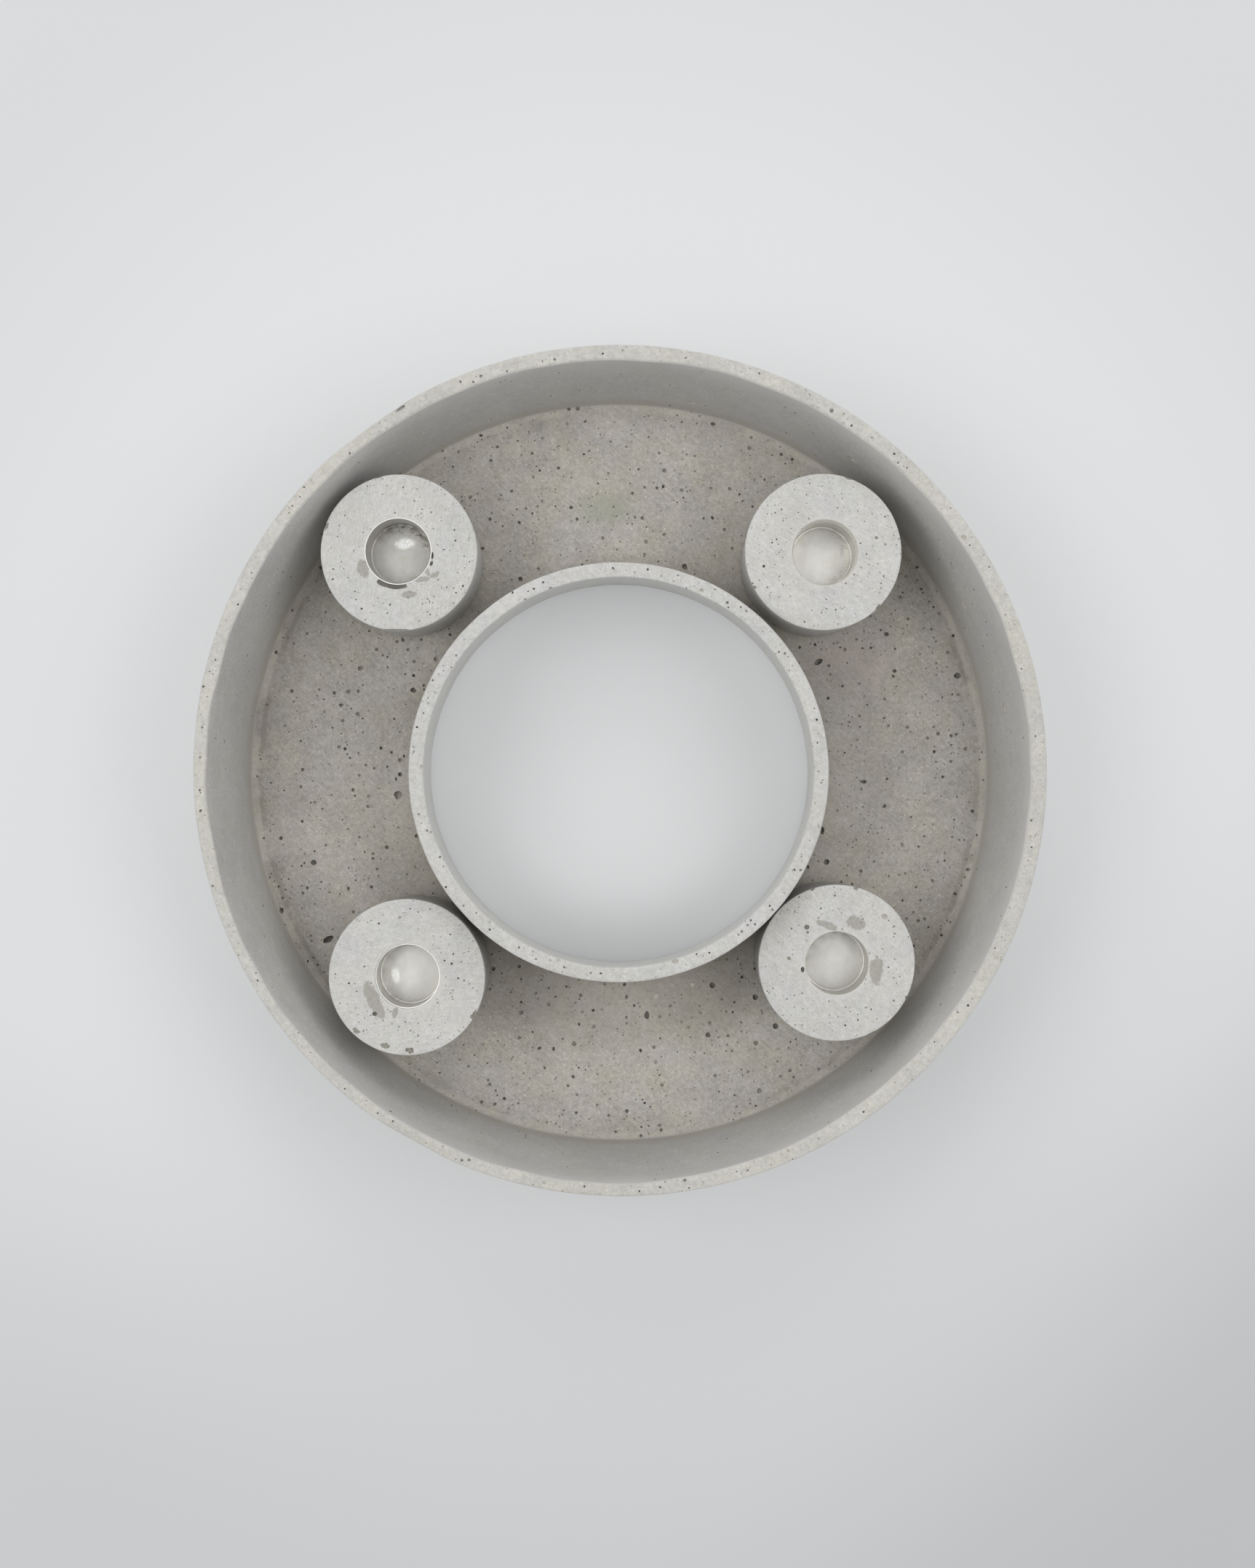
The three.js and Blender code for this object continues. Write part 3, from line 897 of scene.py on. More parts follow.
    def rim_tone(self, tree, vector, paint, height):
        """The outer rim is a little warmer and darker than the inner one."""
        look = bpy.context.scene.concrete_look
        x, y, _ = parts_of(tree, vector)
        away = distance_of(tree, x, y)
        outer = ramp(tree, away, 90 * MM, 120 * MM)
        return mix_colour(tree, "MULTIPLY", outer, paint, (*look.outer_rim, 1)), height

    def floor_bands(self, tree, vector, paint, height):
        """Marks of casting on the floor: a cream line near the outer wall between darker bands, a green
        smudge at the back and a pink one at the right. The floor is also darker towards the outer wall,
        less so at the front and back, and has painted shade along the inner wall and near the hole at the
        front and right."""
        x, y, _ = parts_of(tree, vector)
        away = distance_of(tree, x, y)
        shift = swing_of(tree, vector, 9 * MM, 4.0, 0.6)
        away = calc(tree, "MULTIPLY_ADD", shift, 2.6 * MM, away)
        broken = noise_of(tree, vector, 15 * MM, 3.0, 0.6)

        def band(middle, half, strength):
            """A band round the ring, its middle and half width in millimetres."""
            off = calc(tree, "ABSOLUTE", calc(tree, "SUBTRACT", away, middle * MM))
            return product(tree, ramp(tree, off, half * MM, half * 0.35 * MM), strength)

        look = bpy.context.scene.concrete_look
        # Darker towards the outer wall, less so at the front and back
        dark = ramp(tree, away, 127 * MM, 135 * MM)
        dark = product(tree, dark, ramp(tree, broken, 0.7, 0.3, 0.08, 0.4))
        dark = product(tree, dark, ramp(tree, y, -110 * MM, -20 * MM, 0.1, 1.0))
        dark = product(tree, dark, ramp(tree, y, 60 * MM, 120 * MM, 1.0, 0.5))
        paint = laid_over(tree, paint, look.dust, dark)
        line = product(tree, ramp(tree, calc(tree, "ABSOLUTE", x), 40 * MM, 110 * MM), 0.45)
        line = band(134.9, 1.4, product(tree, ramp(tree, broken, 0.62, 0.42), line))
        paint = laid_over(tree, paint, look.dust, line)
        cream = band(137.0, 1.5, ramp(tree, broken, 0.36, 0.54))
        paint = laid_over(tree, paint, look.cream, product(tree, cream, 0.45))
        # Painted shade along the foot of the inner wall
        inner = product(tree, ramp(tree, away, 85.5 * MM, 77 * MM), 0.28)
        paint = laid_over(tree, paint, look.dust, inner)
        # Painted shadow of the inner wall on the floor near the hole, at the front and right
        in_front = ramp(tree, y, 0.0, -70 * MM, 0.0, 0.45)
        at_right = ramp(tree, x, 0.0, 70 * MM, 0.0, 0.25)
        near_hole = ramp(tree, away, 112 * MM, 92 * MM)
        shade = product(tree, near_hole, calc(tree, "MAXIMUM", in_front, at_right))
        paint = laid_over(tree, paint, look.dust, shade)
        floor = bpy.context.scene.tray_sizes.floor_height
        green = stain_mask(tree, vector, (-5.7 * MM, 99 * MM, floor), 12 * MM, 6 * MM, 5, 1.4, 0.5)
        paint = laid_over(tree, paint, look.green_smudge, product(tree, green, 0.4))
        pink = stain_mask(tree, vector, (89 * MM, 43 * MM, floor), 15 * MM, 11 * MM, 20, 1.6, 0.6)
        paint = laid_over(tree, paint, look.pink_smudge, product(tree, pink, 0.35))
        return paint, height

    def wall_foot(self, tree, vector, paint, height):
        """The walls are warmer and darker towards the floor, have painted shade from the floor up to
        mid-height that is strongest at the left and right, and painted light under the rim except at the
        left.
        """
        low, look = bpy.context.scene.tray_sizes.floor_height, bpy.context.scene.concrete_look
        x, _, z = parts_of(tree, vector)
        up = calc(tree, "MULTIPLY_ADD", noise_of(tree, vector, 12 * MM, 3.0), 6 * MM, z)
        foot = ramp(tree, up, low + 12 * MM, low + 5 * MM, 0.0, 0.8)
        paint = laid_over(tree, paint, look.wall_foot, foot)
        # Painted shade, from the floor up to mid-height, most at the left and right
        sides = ramp(tree, calc(tree, "ABSOLUTE", x), 60 * MM, 125 * MM, 0.15, 0.38)
        dust = product(tree, ramp(tree, up, low + 38 * MM, low + 5 * MM), sides)
        paint = laid_over(tree, paint, look.wall_dust, dust)
        # Painted light under the rim, except at the left
        under_rim = ramp(tree, up, low + 36 * MM, low + 52 * MM)
        light = product(tree, under_rim, ramp(tree, x, -120 * MM, -60 * MM))
        light = product(tree, light, 0.7)
        return laid_over(tree, paint, look.wall_light, light), height

    def add_read_holes(self, cutters, floor):
        """The air holes that were read in the picture."""
        s = bpy.context.scene.tray_sizes
        pixel = (picture_point(1, 0, floor) - picture_point(0, 0, floor)).x
        for across, down, width in self.round_holes:
            radius = width / 2 * pixel
            place = picture_point(across, down, floor)
            cutters.add_ball(place, (radius, radius, radius * 0.9), wobble=0.25)
        for holes, share, look in ((self.deep_holes, 1.1, DEEP), (self.shallow_holes, 0.28, PALE)):
            for across, down, width, height, tilt in holes:
                radii = (width / 2 * pixel, height / 2 * pixel, (width + height) / 4 * pixel * share)
                turn = Matrix.Rotation(math.radians(tilt), 3, "Z")
                cutters.add_ball(picture_point(across, down, floor), radii, turn, wobble=0.25, look=look)
        for degrees, radius, long, width in self.rim_holes:
            bearing = math.radians(degrees)
            radii = (width / 2 * MM, long / 2 * MM, width / 2.4 * MM)
            place = on_ring(radius * MM, bearing, s.rim_height)
            look = PALE if long > 1.6 else PIT
            cutters.add_ball(place, radii, Matrix.Rotation(bearing, 3, "Z"), wobble=0.2, look=look)
        for degrees, height in self.wall_hollows:
            bearing = math.radians(degrees)
            lean = (s.rim_radius - s.outer_wall_rim - s.trough_outer) / (s.rim_height - s.floor_height)
            radius = s.trough_outer + lean * (height * MM - s.floor_height)
            turn = Matrix.Rotation(bearing, 3, "Z")
            radii = (0.7 * MM, 2.2 * MM, 1.2 * MM)
            cutters.add_ball(on_ring(radius, bearing, height * MM), radii, turn, wobble=0.25, look=PALE)
        degrees, inwards, down, *radii = self.edge_chip
        bearing = math.radians(degrees)
        place = on_ring(s.rim_radius - inwards * MM, bearing, s.rim_height - down * MM)
        turn = Matrix.Rotation(bearing, 3, "Z")
        cutters.add_ball(place, [size * MM for size in radii], turn, 0.3, BROKEN)

    def scatter(self, cutters, draw, look, inner, outer, height, per_cm2, facing, largest):
        """Air holes over a level ring."""
        area = math.pi * (outer**2 - inner**2) * 1e4
        for _ in range(int(area * per_cm2)):
            radius = math.sqrt(draw.uniform(inner**2, outer**2))
            place = on_ring(radius, draw.uniform(-math.pi, math.pi), height)
            width = hole_width(draw, look, largest)
            if draw.random() < 0.25 + 0.75 * crowding(place):
                add_hole(cutters, place, (0, 0, facing), width, draw)

    def scatter_upright(self, cutters, draw, look, low, high, per_cm2, facing):
        """Air holes over an upright face between two (radius, height) ends."""
        area = 2 * math.pi * (low[0] + high[0]) / 2 * (high[1] - low[1]) * 1e4
        for _ in range(int(area * per_cm2)):
            share = draw.random()
            radius = low[0] + (high[0] - low[0]) * share
            bearing = draw.uniform(-math.pi, math.pi)
            place = on_ring(radius, bearing, low[1] + (high[1] - low[1]) * share)
            add_hole(cutters, place, on_ring(facing, bearing, 0), hole_width(draw, look, 1.0 * MM), draw)

    def execute(self, context):
        s, look = context.scene.tray_sizes, context.scene.concrete_look
        draw = random.Random(look.seed)
        mesh = turned_mesh("tray_casting", *self.outline(), 360)
        self.warp(mesh)
        roughen(mesh, 0.08 * MM, 9 * MM, 1)
        roughen(mesh, 0.05 * MM, 3.5 * MM, 2)
        sanded = concrete(
            "Tray rim, sanded", look.sanded, 0.75, 0.3, 0.13, pins=(1.5 * MM, 0.32 * MM), scratch=(0.6, 0.3),
            flecks=(0.5, 1.6 * MM), dress=self.rim_tone,
        )
        # The walls' flecks are mostly painted glints of the lit lower lips of small air holes
        cast = concrete(
            "Tray wall, as cast", look.cast, 0.4, 0.32, 0.1, flecks=(0.9, 1.6 * MM), bump=0.06 * MM,
            dress=self.wall_foot,
        )
        floor = concrete(
            "Tray floor", look.floor, 1.05, 0.68, 0.22, pins=(1.6 * MM, 0.38 * MM), scratch=(0.75, 0.6),
            flecks=(0.5, 2.0 * MM), dress=self.floor_bands,
        )
        under = concrete("Tray underside", look.cast, 0.4, 0.34, 0.08, pins=(3.0 * MM, 0.4 * MM))
        # The hole's wall is painted paler: painted light from the paper
        hole = concrete("Tray hole wall", look.hole_wall, 0.3, 0.2, 0.08, bump=0.06 * MM)
        materials = (sanded, cast, floor, under, hole)
        piece = add_piece("tray_casting", mesh, materials, "tray", "concrete", "ring_tray")
        cutters = Cutters("tray_holes")
        self.add_read_holes(cutters, s.floor_height)
        rim = s.rim_height
        outer_rim = s.rim_radius - s.outer_wall_rim
        inner_rim = s.hole_rim_radius + s.inner_wall_rim
        low, high = s.underside + 3 * MM, rim - 2 * MM
        # Inner and outer radius, height, holes for each square centimetre, facing, largest hole
        level = (
            (s.trough_outer - 4 * MM, s.trough_outer - 1 * MM, s.floor_height, 4.0, 1, 1.3 * MM),
            (s.trough_inner + 1 * MM, s.trough_outer - 2 * MM, s.floor_height, 3.8, 1, 1.35 * MM),
            (outer_rim + 1.2 * MM, s.rim_radius - 0.7 * MM, rim, 3.4, 1, 0.95 * MM),
            (s.hole_rim_radius + 0.7 * MM, inner_rim - 0.7 * MM, rim, 3.4, 1, 0.95 * MM),
            (s.hole_foot_radius + 3 * MM, s.rim_radius - 3 * MM, s.underside, 0.15, -1, 2.4 * MM),
        )
        for place in level:
            self.scatter(cutters, draw, look, *place)
        # Radius and height of both ends, holes for each square centimetre, facing
        upright = (
            ((s.trough_outer, s.floor_height), (outer_rim, rim - 2 * MM), 0.3, -1),
            ((s.rim_radius, low), (s.rim_radius, high), 0.2, 1),
            ((s.hole_foot_radius, low), (s.hole_rim_radius, high), 0.2, -1),
        )
        for place in upright:
            self.scatter_upright(cutters, draw, look, *place)
        cutters.cut_from(piece, cut_finishes("Tray"))
        finish_shading(piece)
        return {"FINISHED"}


class HOLDER_OT_candle_blocks(bpy.types.Operator):
    """Adds the four loose concrete candle blocks"""

    bl_idname = "holder.candle_blocks"
    bl_label = "Candle blocks"

    # Direction of each block's sanding marks, in degrees
    sanding = {"back_left": 84, "back_right": -25, "front_left": 8, "front_right": -40}

    # Radius of each bore's mouth, in millimetres
    mouths = {"back_left": 12.05, "back_right": 11.85, "front_left": 11.67, "front_right": 11.5}

    # Blocks whose cast throat narrows over the cup's lip and hides it
    narrow_throats = ("back_right", "front_right")

    # How dark the painted shade on the side towards the hole is
    soiled = {"back_left": 0.0, "back_right": 0.0, "front_left": 0.6, "front_right": 0.6}

    # Low patches of each top that the sanding missed: right and back of its middle, half length and
    # half width, in millimetres, angle in degrees
    patches = {
        "back_left": (
            (-12.8, -5.6, 3.1, 2.2, 95), (8.1, -9.5, 3.2, 0.9, 8), (12.6, -8.0, 2.2, 0.9, 30),
            (10.0, -6.4, 2.4, 0.8, 115), (3.7, -15.0, 2.6, 1.2, 8),
        ),
        "back_right": (),
        "front_left": ((-11.8, -8.4, 7.3, 2.3, 114), (-4.3, -12.9, 1.9, 1.0, 80)),
        "front_right": (
            (-3.5, 13.5, 3.9, 1.3, -22), (6.8, 14.3, 4.0, 2.2, -30), (14.2, -2.8, 4.8, 2.4, 85),
        ),
    }

    # How many small air holes are scattered over each top, and how many over each side
    scattered_on_top = 30
    scattered_on_side = 36

    # Size of one pixel of the close-ups in which the air holes of the tops were read, in millimetres
    close_up_pixel = 0.06975

    # Air holes of each top, as read in its close-up, in pixels from the top left: the middle of
    # the top, then across, down and width of each hole
    top_holes = {
        "back_left": (
            (404, 508),
            (
                (69, 593, 14), (213, 795, 13), (425, 834, 13), (733, 678, 13), (550, 812, 10),
                (345, 817, 10), (603, 470, 11), (697, 713, 10), (127, 317, 8), (90, 425, 8),
                (497, 183, 9), (280, 694, 8), (684, 690, 9), (683, 768, 8), (738, 528, 8),
                (98, 371, 8), (234, 852, 9), (577, 765, 7), (508, 858, 8), (110, 556, 7),
            ),
        ),
        "back_right": (
            (402, 511),
            (
                (674, 438, 17), (653, 315, 9), (329, 341, 11), (316, 219, 8), (98, 584, 15),
                (477, 284, 8), (466, 806, 11), (306, 868, 10), (711, 635, 10), (680, 571, 8),
                (637, 575, 8), (344, 811, 8), (393, 820, 8), (178, 636, 8), (197, 340, 7),
                (275, 309, 7), (789, 443, 8), (333, 161, 7), (426, 130, 7), (690, 720, 8),
            ),
        ),
        "front_left": (
            (409, 505),
            (
                (265, 230, 14), (638, 436, 15), (373, 198, 11), (466, 173, 9), (601, 421, 12),
                (672, 511, 13), (571, 358, 11), (687, 426, 9), (191, 451, 12), (112, 537, 14),
                (667, 282, 8), (57, 407, 9), (42, 489, 8), (467, 808, 9), (463, 835, 8),
                (535, 727, 8), (645, 572, 8), (568, 815, 8), (202, 776, 7), (724, 374, 7),
                (192, 716, 8), (640, 605, 7),
            ),
        ),
        "front_right": (
            (413, 507),
            (
                (659, 270, 25), (169, 484, 20), (332, 229, 11), (405, 163, 14), (548, 282, 9),
                (457, 826, 12), (522, 799, 12), (174, 369, 9), (707, 320, 11), (705, 700, 12),
                (647, 435, 9), (375, 704, 9), (677, 529, 8), (764, 282, 9), (237, 663, 9),
                (482, 756, 8), (574, 352, 8), (87, 637, 8), (67, 662, 8), (200, 246, 8),
                (705, 583, 9), (200, 166, 8),
            ),
        ),
    }

    # Voids and large air holes of each top: right and back, half length and half width, in
    # millimetres, angle in degrees, depth in millimetres, finish
    voids = {
        "back_left": (
            (-2.6, -11.1, 5.4, 1.7, -8, 1.3, DEEP), (11.9, -1.1, 1.3, 0.5, 92, 1.0, DEEP),
            (11.6, -3.9, 1.0, 0.6, 70, 1.0, PIT),
        ),
        "back_right": (
            (-24.6, -12.6, 0.7, 0.6, 0, 0.6, PIT), (-25.2, -11.2, 0.4, 0.4, 0, 0.4, PIT),
        ),
        "front_left": (
            (-11.5, -13.1, 0.9, 0.8, 0, 0.9, DEEP),
        ),
        "front_right": (
            (-10.6, 12.7, 1.0, 0.9, 0, 0.9, PIT), (-10.3, 10.9, 0.5, 0.5, 0, 0.5, PIT),
            (-12.1, -2.4, 1.1, 0.7, 90, 1.0, DEEP),
        ),
    }

    # Chips out of each top's edge: right and back, half length, half depth and half height, in millimetres
    chips = {
        "back_left": (
            (-0.3, -27.7, 4.3, 0.5, 0.8), (-25.9, 9.2, 1.3, 0.6, 0.5), (-7.2, 27.0, 1.6, 0.4, 0.4),
        ),
        "back_right": ((9.0, 26.3, 1.3, 0.6, 0.6), (19.7, -19.8, 1.2, 0.7, 0.7)),
        "front_left": (
            (24.1, -13.5, 1.7, 1.1, 0.9), (1.1, -26.2, 1.7, 1.0, 0.9), (-7.6, -24.5, 1.7, 0.9, 0.7),
            (-18.2, -19.2, 1.4, 0.7, 0.5),
        ),
        "front_right": (
            (-8.6, 26.4, 0.9, 0.6, 0.7), (6.9, 26.6, 0.9, 0.6, 0.7), (12.6, -25.2, 1.7, 0.5, 0.7),
            (24.9, -12.4, 0.7, 0.5, 0.6),
        ),
    }

    def outline(self, radius, base, top, mouth, narrow, lip, bore_radius, bore_floor):
        """Section of a block. A narrow throat hangs over the cup's lip, another one fits round it."""
        s = bpy.context.scene.block_sizes
        cup = bpy.context.scene.cup_sizes
        if narrow:
            inside = bore_radius - s.bore_gap - cup.wall
            throat = [(inside + 0.05 * MM, lip + 0.2 * MM), (bore_radius, lip + 0.06 * MM)]
        elif mouth < bore_radius:
            throat = [(mouth, lip - 1.0 * MM), (bore_radius, lip - 1.4 * MM)]
        else:
            throat = [(bore_radius, top - cup.flare_height)]
        throat = [(*place, 0, 1, CAST, 3 * MM) for place in throat]
        return rounded_outline(
            [
                (0, base, 0, 1, UNDERSIDE, 4 * MM),
                (radius - s.taper, base, s.foot_arris, 3, CAST, 2.5 * MM),
                (radius, top, s.arris, 3, SANDED, 0.8 * MM),
                (mouth, top, s.mouth_arris, 2, THROAT if narrow else CAST, 1 * MM),
                *throat,
                (bore_radius, bore_floor, 0, 1, CAST, 3 * MM),
                (0, bore_floor, 0, 1, CAST, 3 * MM),
            ]
        )

    def shift_bore(self, mesh, offset, bore_radius, radius, seed):
        """The bore is off the middle by this offset, the top's rings follow it inwards, and its mouth
        is a little uneven."""
        places = places_of(mesh)
        away = np.hypot(places[:, 0], places[:, 1])
        pull = np.clip((radius - 2 * MM - away) / (radius - 2 * MM - bore_radius), 0, 1)
        top = places[:, 2].max()
        upper = places[:, 2] > top - 3.5 * MM
        inside = np.where(upper | (away <= bore_radius * 1.05), pull, 0)
        at_mouth = np.where(upper, np.clip(1 - np.abs(away - bore_radius) / (2 * MM), 0, 1), 0)
        bearing = np.arctan2(places[:, 1], places[:, 0])
        uneven = at_mouth * 0.06 * MM * wander(bearing, 4, seed)
        places[:, :2] *= (1 + uneven / np.maximum(away, MM))[:, None]
        places[:, 0] += inside * offset.x
        places[:, 1] += inside * offset.y
        move_to(mesh, places)

    def add_block(self, context, place, number):
        """One block: turned, roughened, painted, and with its voids, chips and air holes cut."""
        s, look = context.scene.block_sizes, context.scene.concrete_look
        draw = random.Random(look.seed + 10 * number)
        low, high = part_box("candle_block_" + place)
        cup_low, cup_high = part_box("candle_cup_" + place)
        middle, cup = (low + high) / 2, (cup_low + cup_high) / 2
        radius, top = (high.x - low.x) / 2, high.z
        bore_radius = (cup_high.x - cup_low.x) / 2 + s.bore_gap
        mouth = self.mouths[place] * MM
        narrow = place in self.narrow_throats
        bore_floor = cup_low.z - s.bore_gap
        outline = self.outline(radius, low.z, top, mouth, narrow, cup_high.z, bore_radius, bore_floor)
        mesh = turned_mesh("block_casting_" + place, *outline, 200)
        self.shift_bore(mesh, cup - middle, bore_radius, radius, number * 3.3)
        move_to(mesh, places_of(mesh) + np.array((middle.x, middle.y, 0)))
        roughen(mesh, 0.05 * MM, 5 * MM, 20 + number)
        roughen(mesh, 0.05 * MM, 1.3 * MM, 30 + number)
        top_middle = Vector((middle.x, middle.y, top))
        sanded = concrete(
            f"Block top {place}, sanded", look.sanded, 0.65, 0.3, 0.12, pins=(1.4 * MM, 0.32 * MM),
            scratch=(math.radians(-self.sanding[place]), 0.55), flecks=(0.5, 1.3 * MM),
            dress=lambda *drawn: self.paint_top(place, top_middle, cup, bore_radius, *drawn),
        )
        cast = concrete(
            f"Block side {place}", look.cast, 0.4, 0.3, 0.12, flecks=(0.6, 2.5 * MM), bump=0.06 * MM,
            dress=lambda *drawn: self.paint_side(place, middle, radius, *drawn),
        )
        throat = cast
        if narrow:
            throat = concrete(f"Block throat {place}", look.throat, 0.3, 0.2, 0.08, bump=0.06 * MM)
        piece = add_piece(
            "block_casting_" + place, mesh, (sanded, cast, throat, cast),
            "holder_" + place, "concrete", "candle_block_" + place,
        )
        cutters = Cutters("holes_" + place)
        self.add_voids(cutters, place, top_middle)
        for right, back, width in self.read_holes(place):
            add_hole(cutters, beside(top_middle, right, back), (0, 0, 1), width * MM, draw)
        self.add_holes(cutters, draw, look, top_middle, radius, bore_radius, low.z)
        cutters.cut_from(piece, cut_finishes("Block " + place))
        finish_shading(piece)

    def read_holes(self, place):
        """The air holes that were read: right and back of the top's middle, and width, in millimetres.
        Readings are no finer than a tenth of a millimetre, so the places are rounded to that."""
        middle, holes = self.top_holes[place]
        for across, down, width in holes:
            right = round((across - middle[0]) * self.close_up_pixel, 1)
            back = round((middle[1] - down) * self.close_up_pixel, 1)
            yield right, back, round(width * self.close_up_pixel, 2)

    def paint_side(self, place, middle, radius, tree, vector, paint, height):
        """A front block's side has painted shade towards the hole."""
        towards = Vector((-middle.x, -middle.y, 0)).normalized() / radius
        facing = vector_calc(tree, "DOT_PRODUCT", vector_calc(tree, "SUBTRACT", vector, middle), towards)
        # Painted shade on the side that faces the hole
        dark = ramp(tree, facing, -0.1, 0.75, 0.0, self.soiled[place])
        look = bpy.context.scene.concrete_look
        return laid_over(tree, paint, look.rubbed_side, dark), height

    def paint_top(self, place, top_middle, bore, bore_radius, tree, vector, paint, height):
        """A pale ring round the bore, and low patches: rough, darker and a little brown."""
        look = bpy.context.scene.concrete_look
        middle = (bore.x, bore.y, top_middle.z)
        away = vector_calc(tree, "LENGTH", vector_calc(tree, "SUBTRACT", vector, middle))
        uneven = calc(tree, "MULTIPLY_ADD", noise_of(tree, vector, 5 * MM, 3.0), 3 * MM, away)
        ring = ramp(tree, uneven, bore_radius + 3.4 * MM, bore_radius + 1.2 * MM, 0.0, 0.5)
        paint = laid_over(tree, paint, look.bore_ring, ring)
        rough = noise_of(tree, vector, 1.1 * MM, 3.0, 0.8)
        for right, back, half_length, half_width, degrees in self.patches[place]:
            centre = beside(top_middle, right, back)
            mask = stain_mask(tree, vector, centre, half_length * MM, half_width * MM, degrees, 1.6, 0.12)
            mask = product(tree, mask, ramp(tree, rough, 0.3, 0.62, 1.0, 0.75))
            paint = laid_over(tree, paint, look.broken, mask)
            height = calc(tree, "MULTIPLY_ADD", mask, -0.9, height)
        return paint, height

    def add_voids(self, cutters, place, top_middle):
        """The voids and chips that were read in the picture."""
        for right, back, half_length, half_width, degrees, depth, look in self.voids[place]:
            centre = beside(top_middle, right, back)
            turn = Matrix.Rotation(math.radians(degrees), 3, "Z")
            cutters.add_ball(centre, (half_length * MM, half_width * MM, depth * MM), turn, 0.18, look)
        for right, back, half_length, half_depth, half_height in self.chips[place]:
            bearing = math.atan2(back, right)
            radii = (half_depth * MM, half_length * MM, half_height * MM)
            spot = beside(top_middle, right, back)
            cutters.add_ball(spot, radii, Matrix.Rotation(bearing, 3, "Z"), 0.5, BROKEN)

    def add_holes(self, cutters, draw, look, top_middle, radius, bore_radius, base):
        """Air holes of the top and the side. Those of the top are smaller than the tray's."""
        for _ in range(self.scattered_on_top):
            away = math.sqrt(draw.uniform((bore_radius + 1 * MM) ** 2, (radius - 0.8 * MM) ** 2))
            spot = top_middle + on_ring(away, draw.uniform(-math.pi, math.pi), 0)
            add_hole(cutters, spot, (0, 0, 1), hole_width(draw, look, 1.2 * MM) * 0.6, draw)
        taper = bpy.context.scene.block_sizes.taper
        for _ in range(self.scattered_on_side):
            bearing = draw.uniform(-math.pi, math.pi)
            height = draw.uniform(base + 2 * MM, top_middle.z - 2 * MM)
            away = radius - taper * (top_middle.z - height) / (top_middle.z - base)
            spot = Vector((top_middle.x, top_middle.y, 0)) + on_ring(away, bearing, height)
            add_hole(cutters, spot, on_ring(1, bearing, 0), hole_width(draw, look), draw)

    def execute(self, context):
        for number, place in enumerate(PLACES):
            self.add_block(context, place, number)
        return {"FINISHED"}


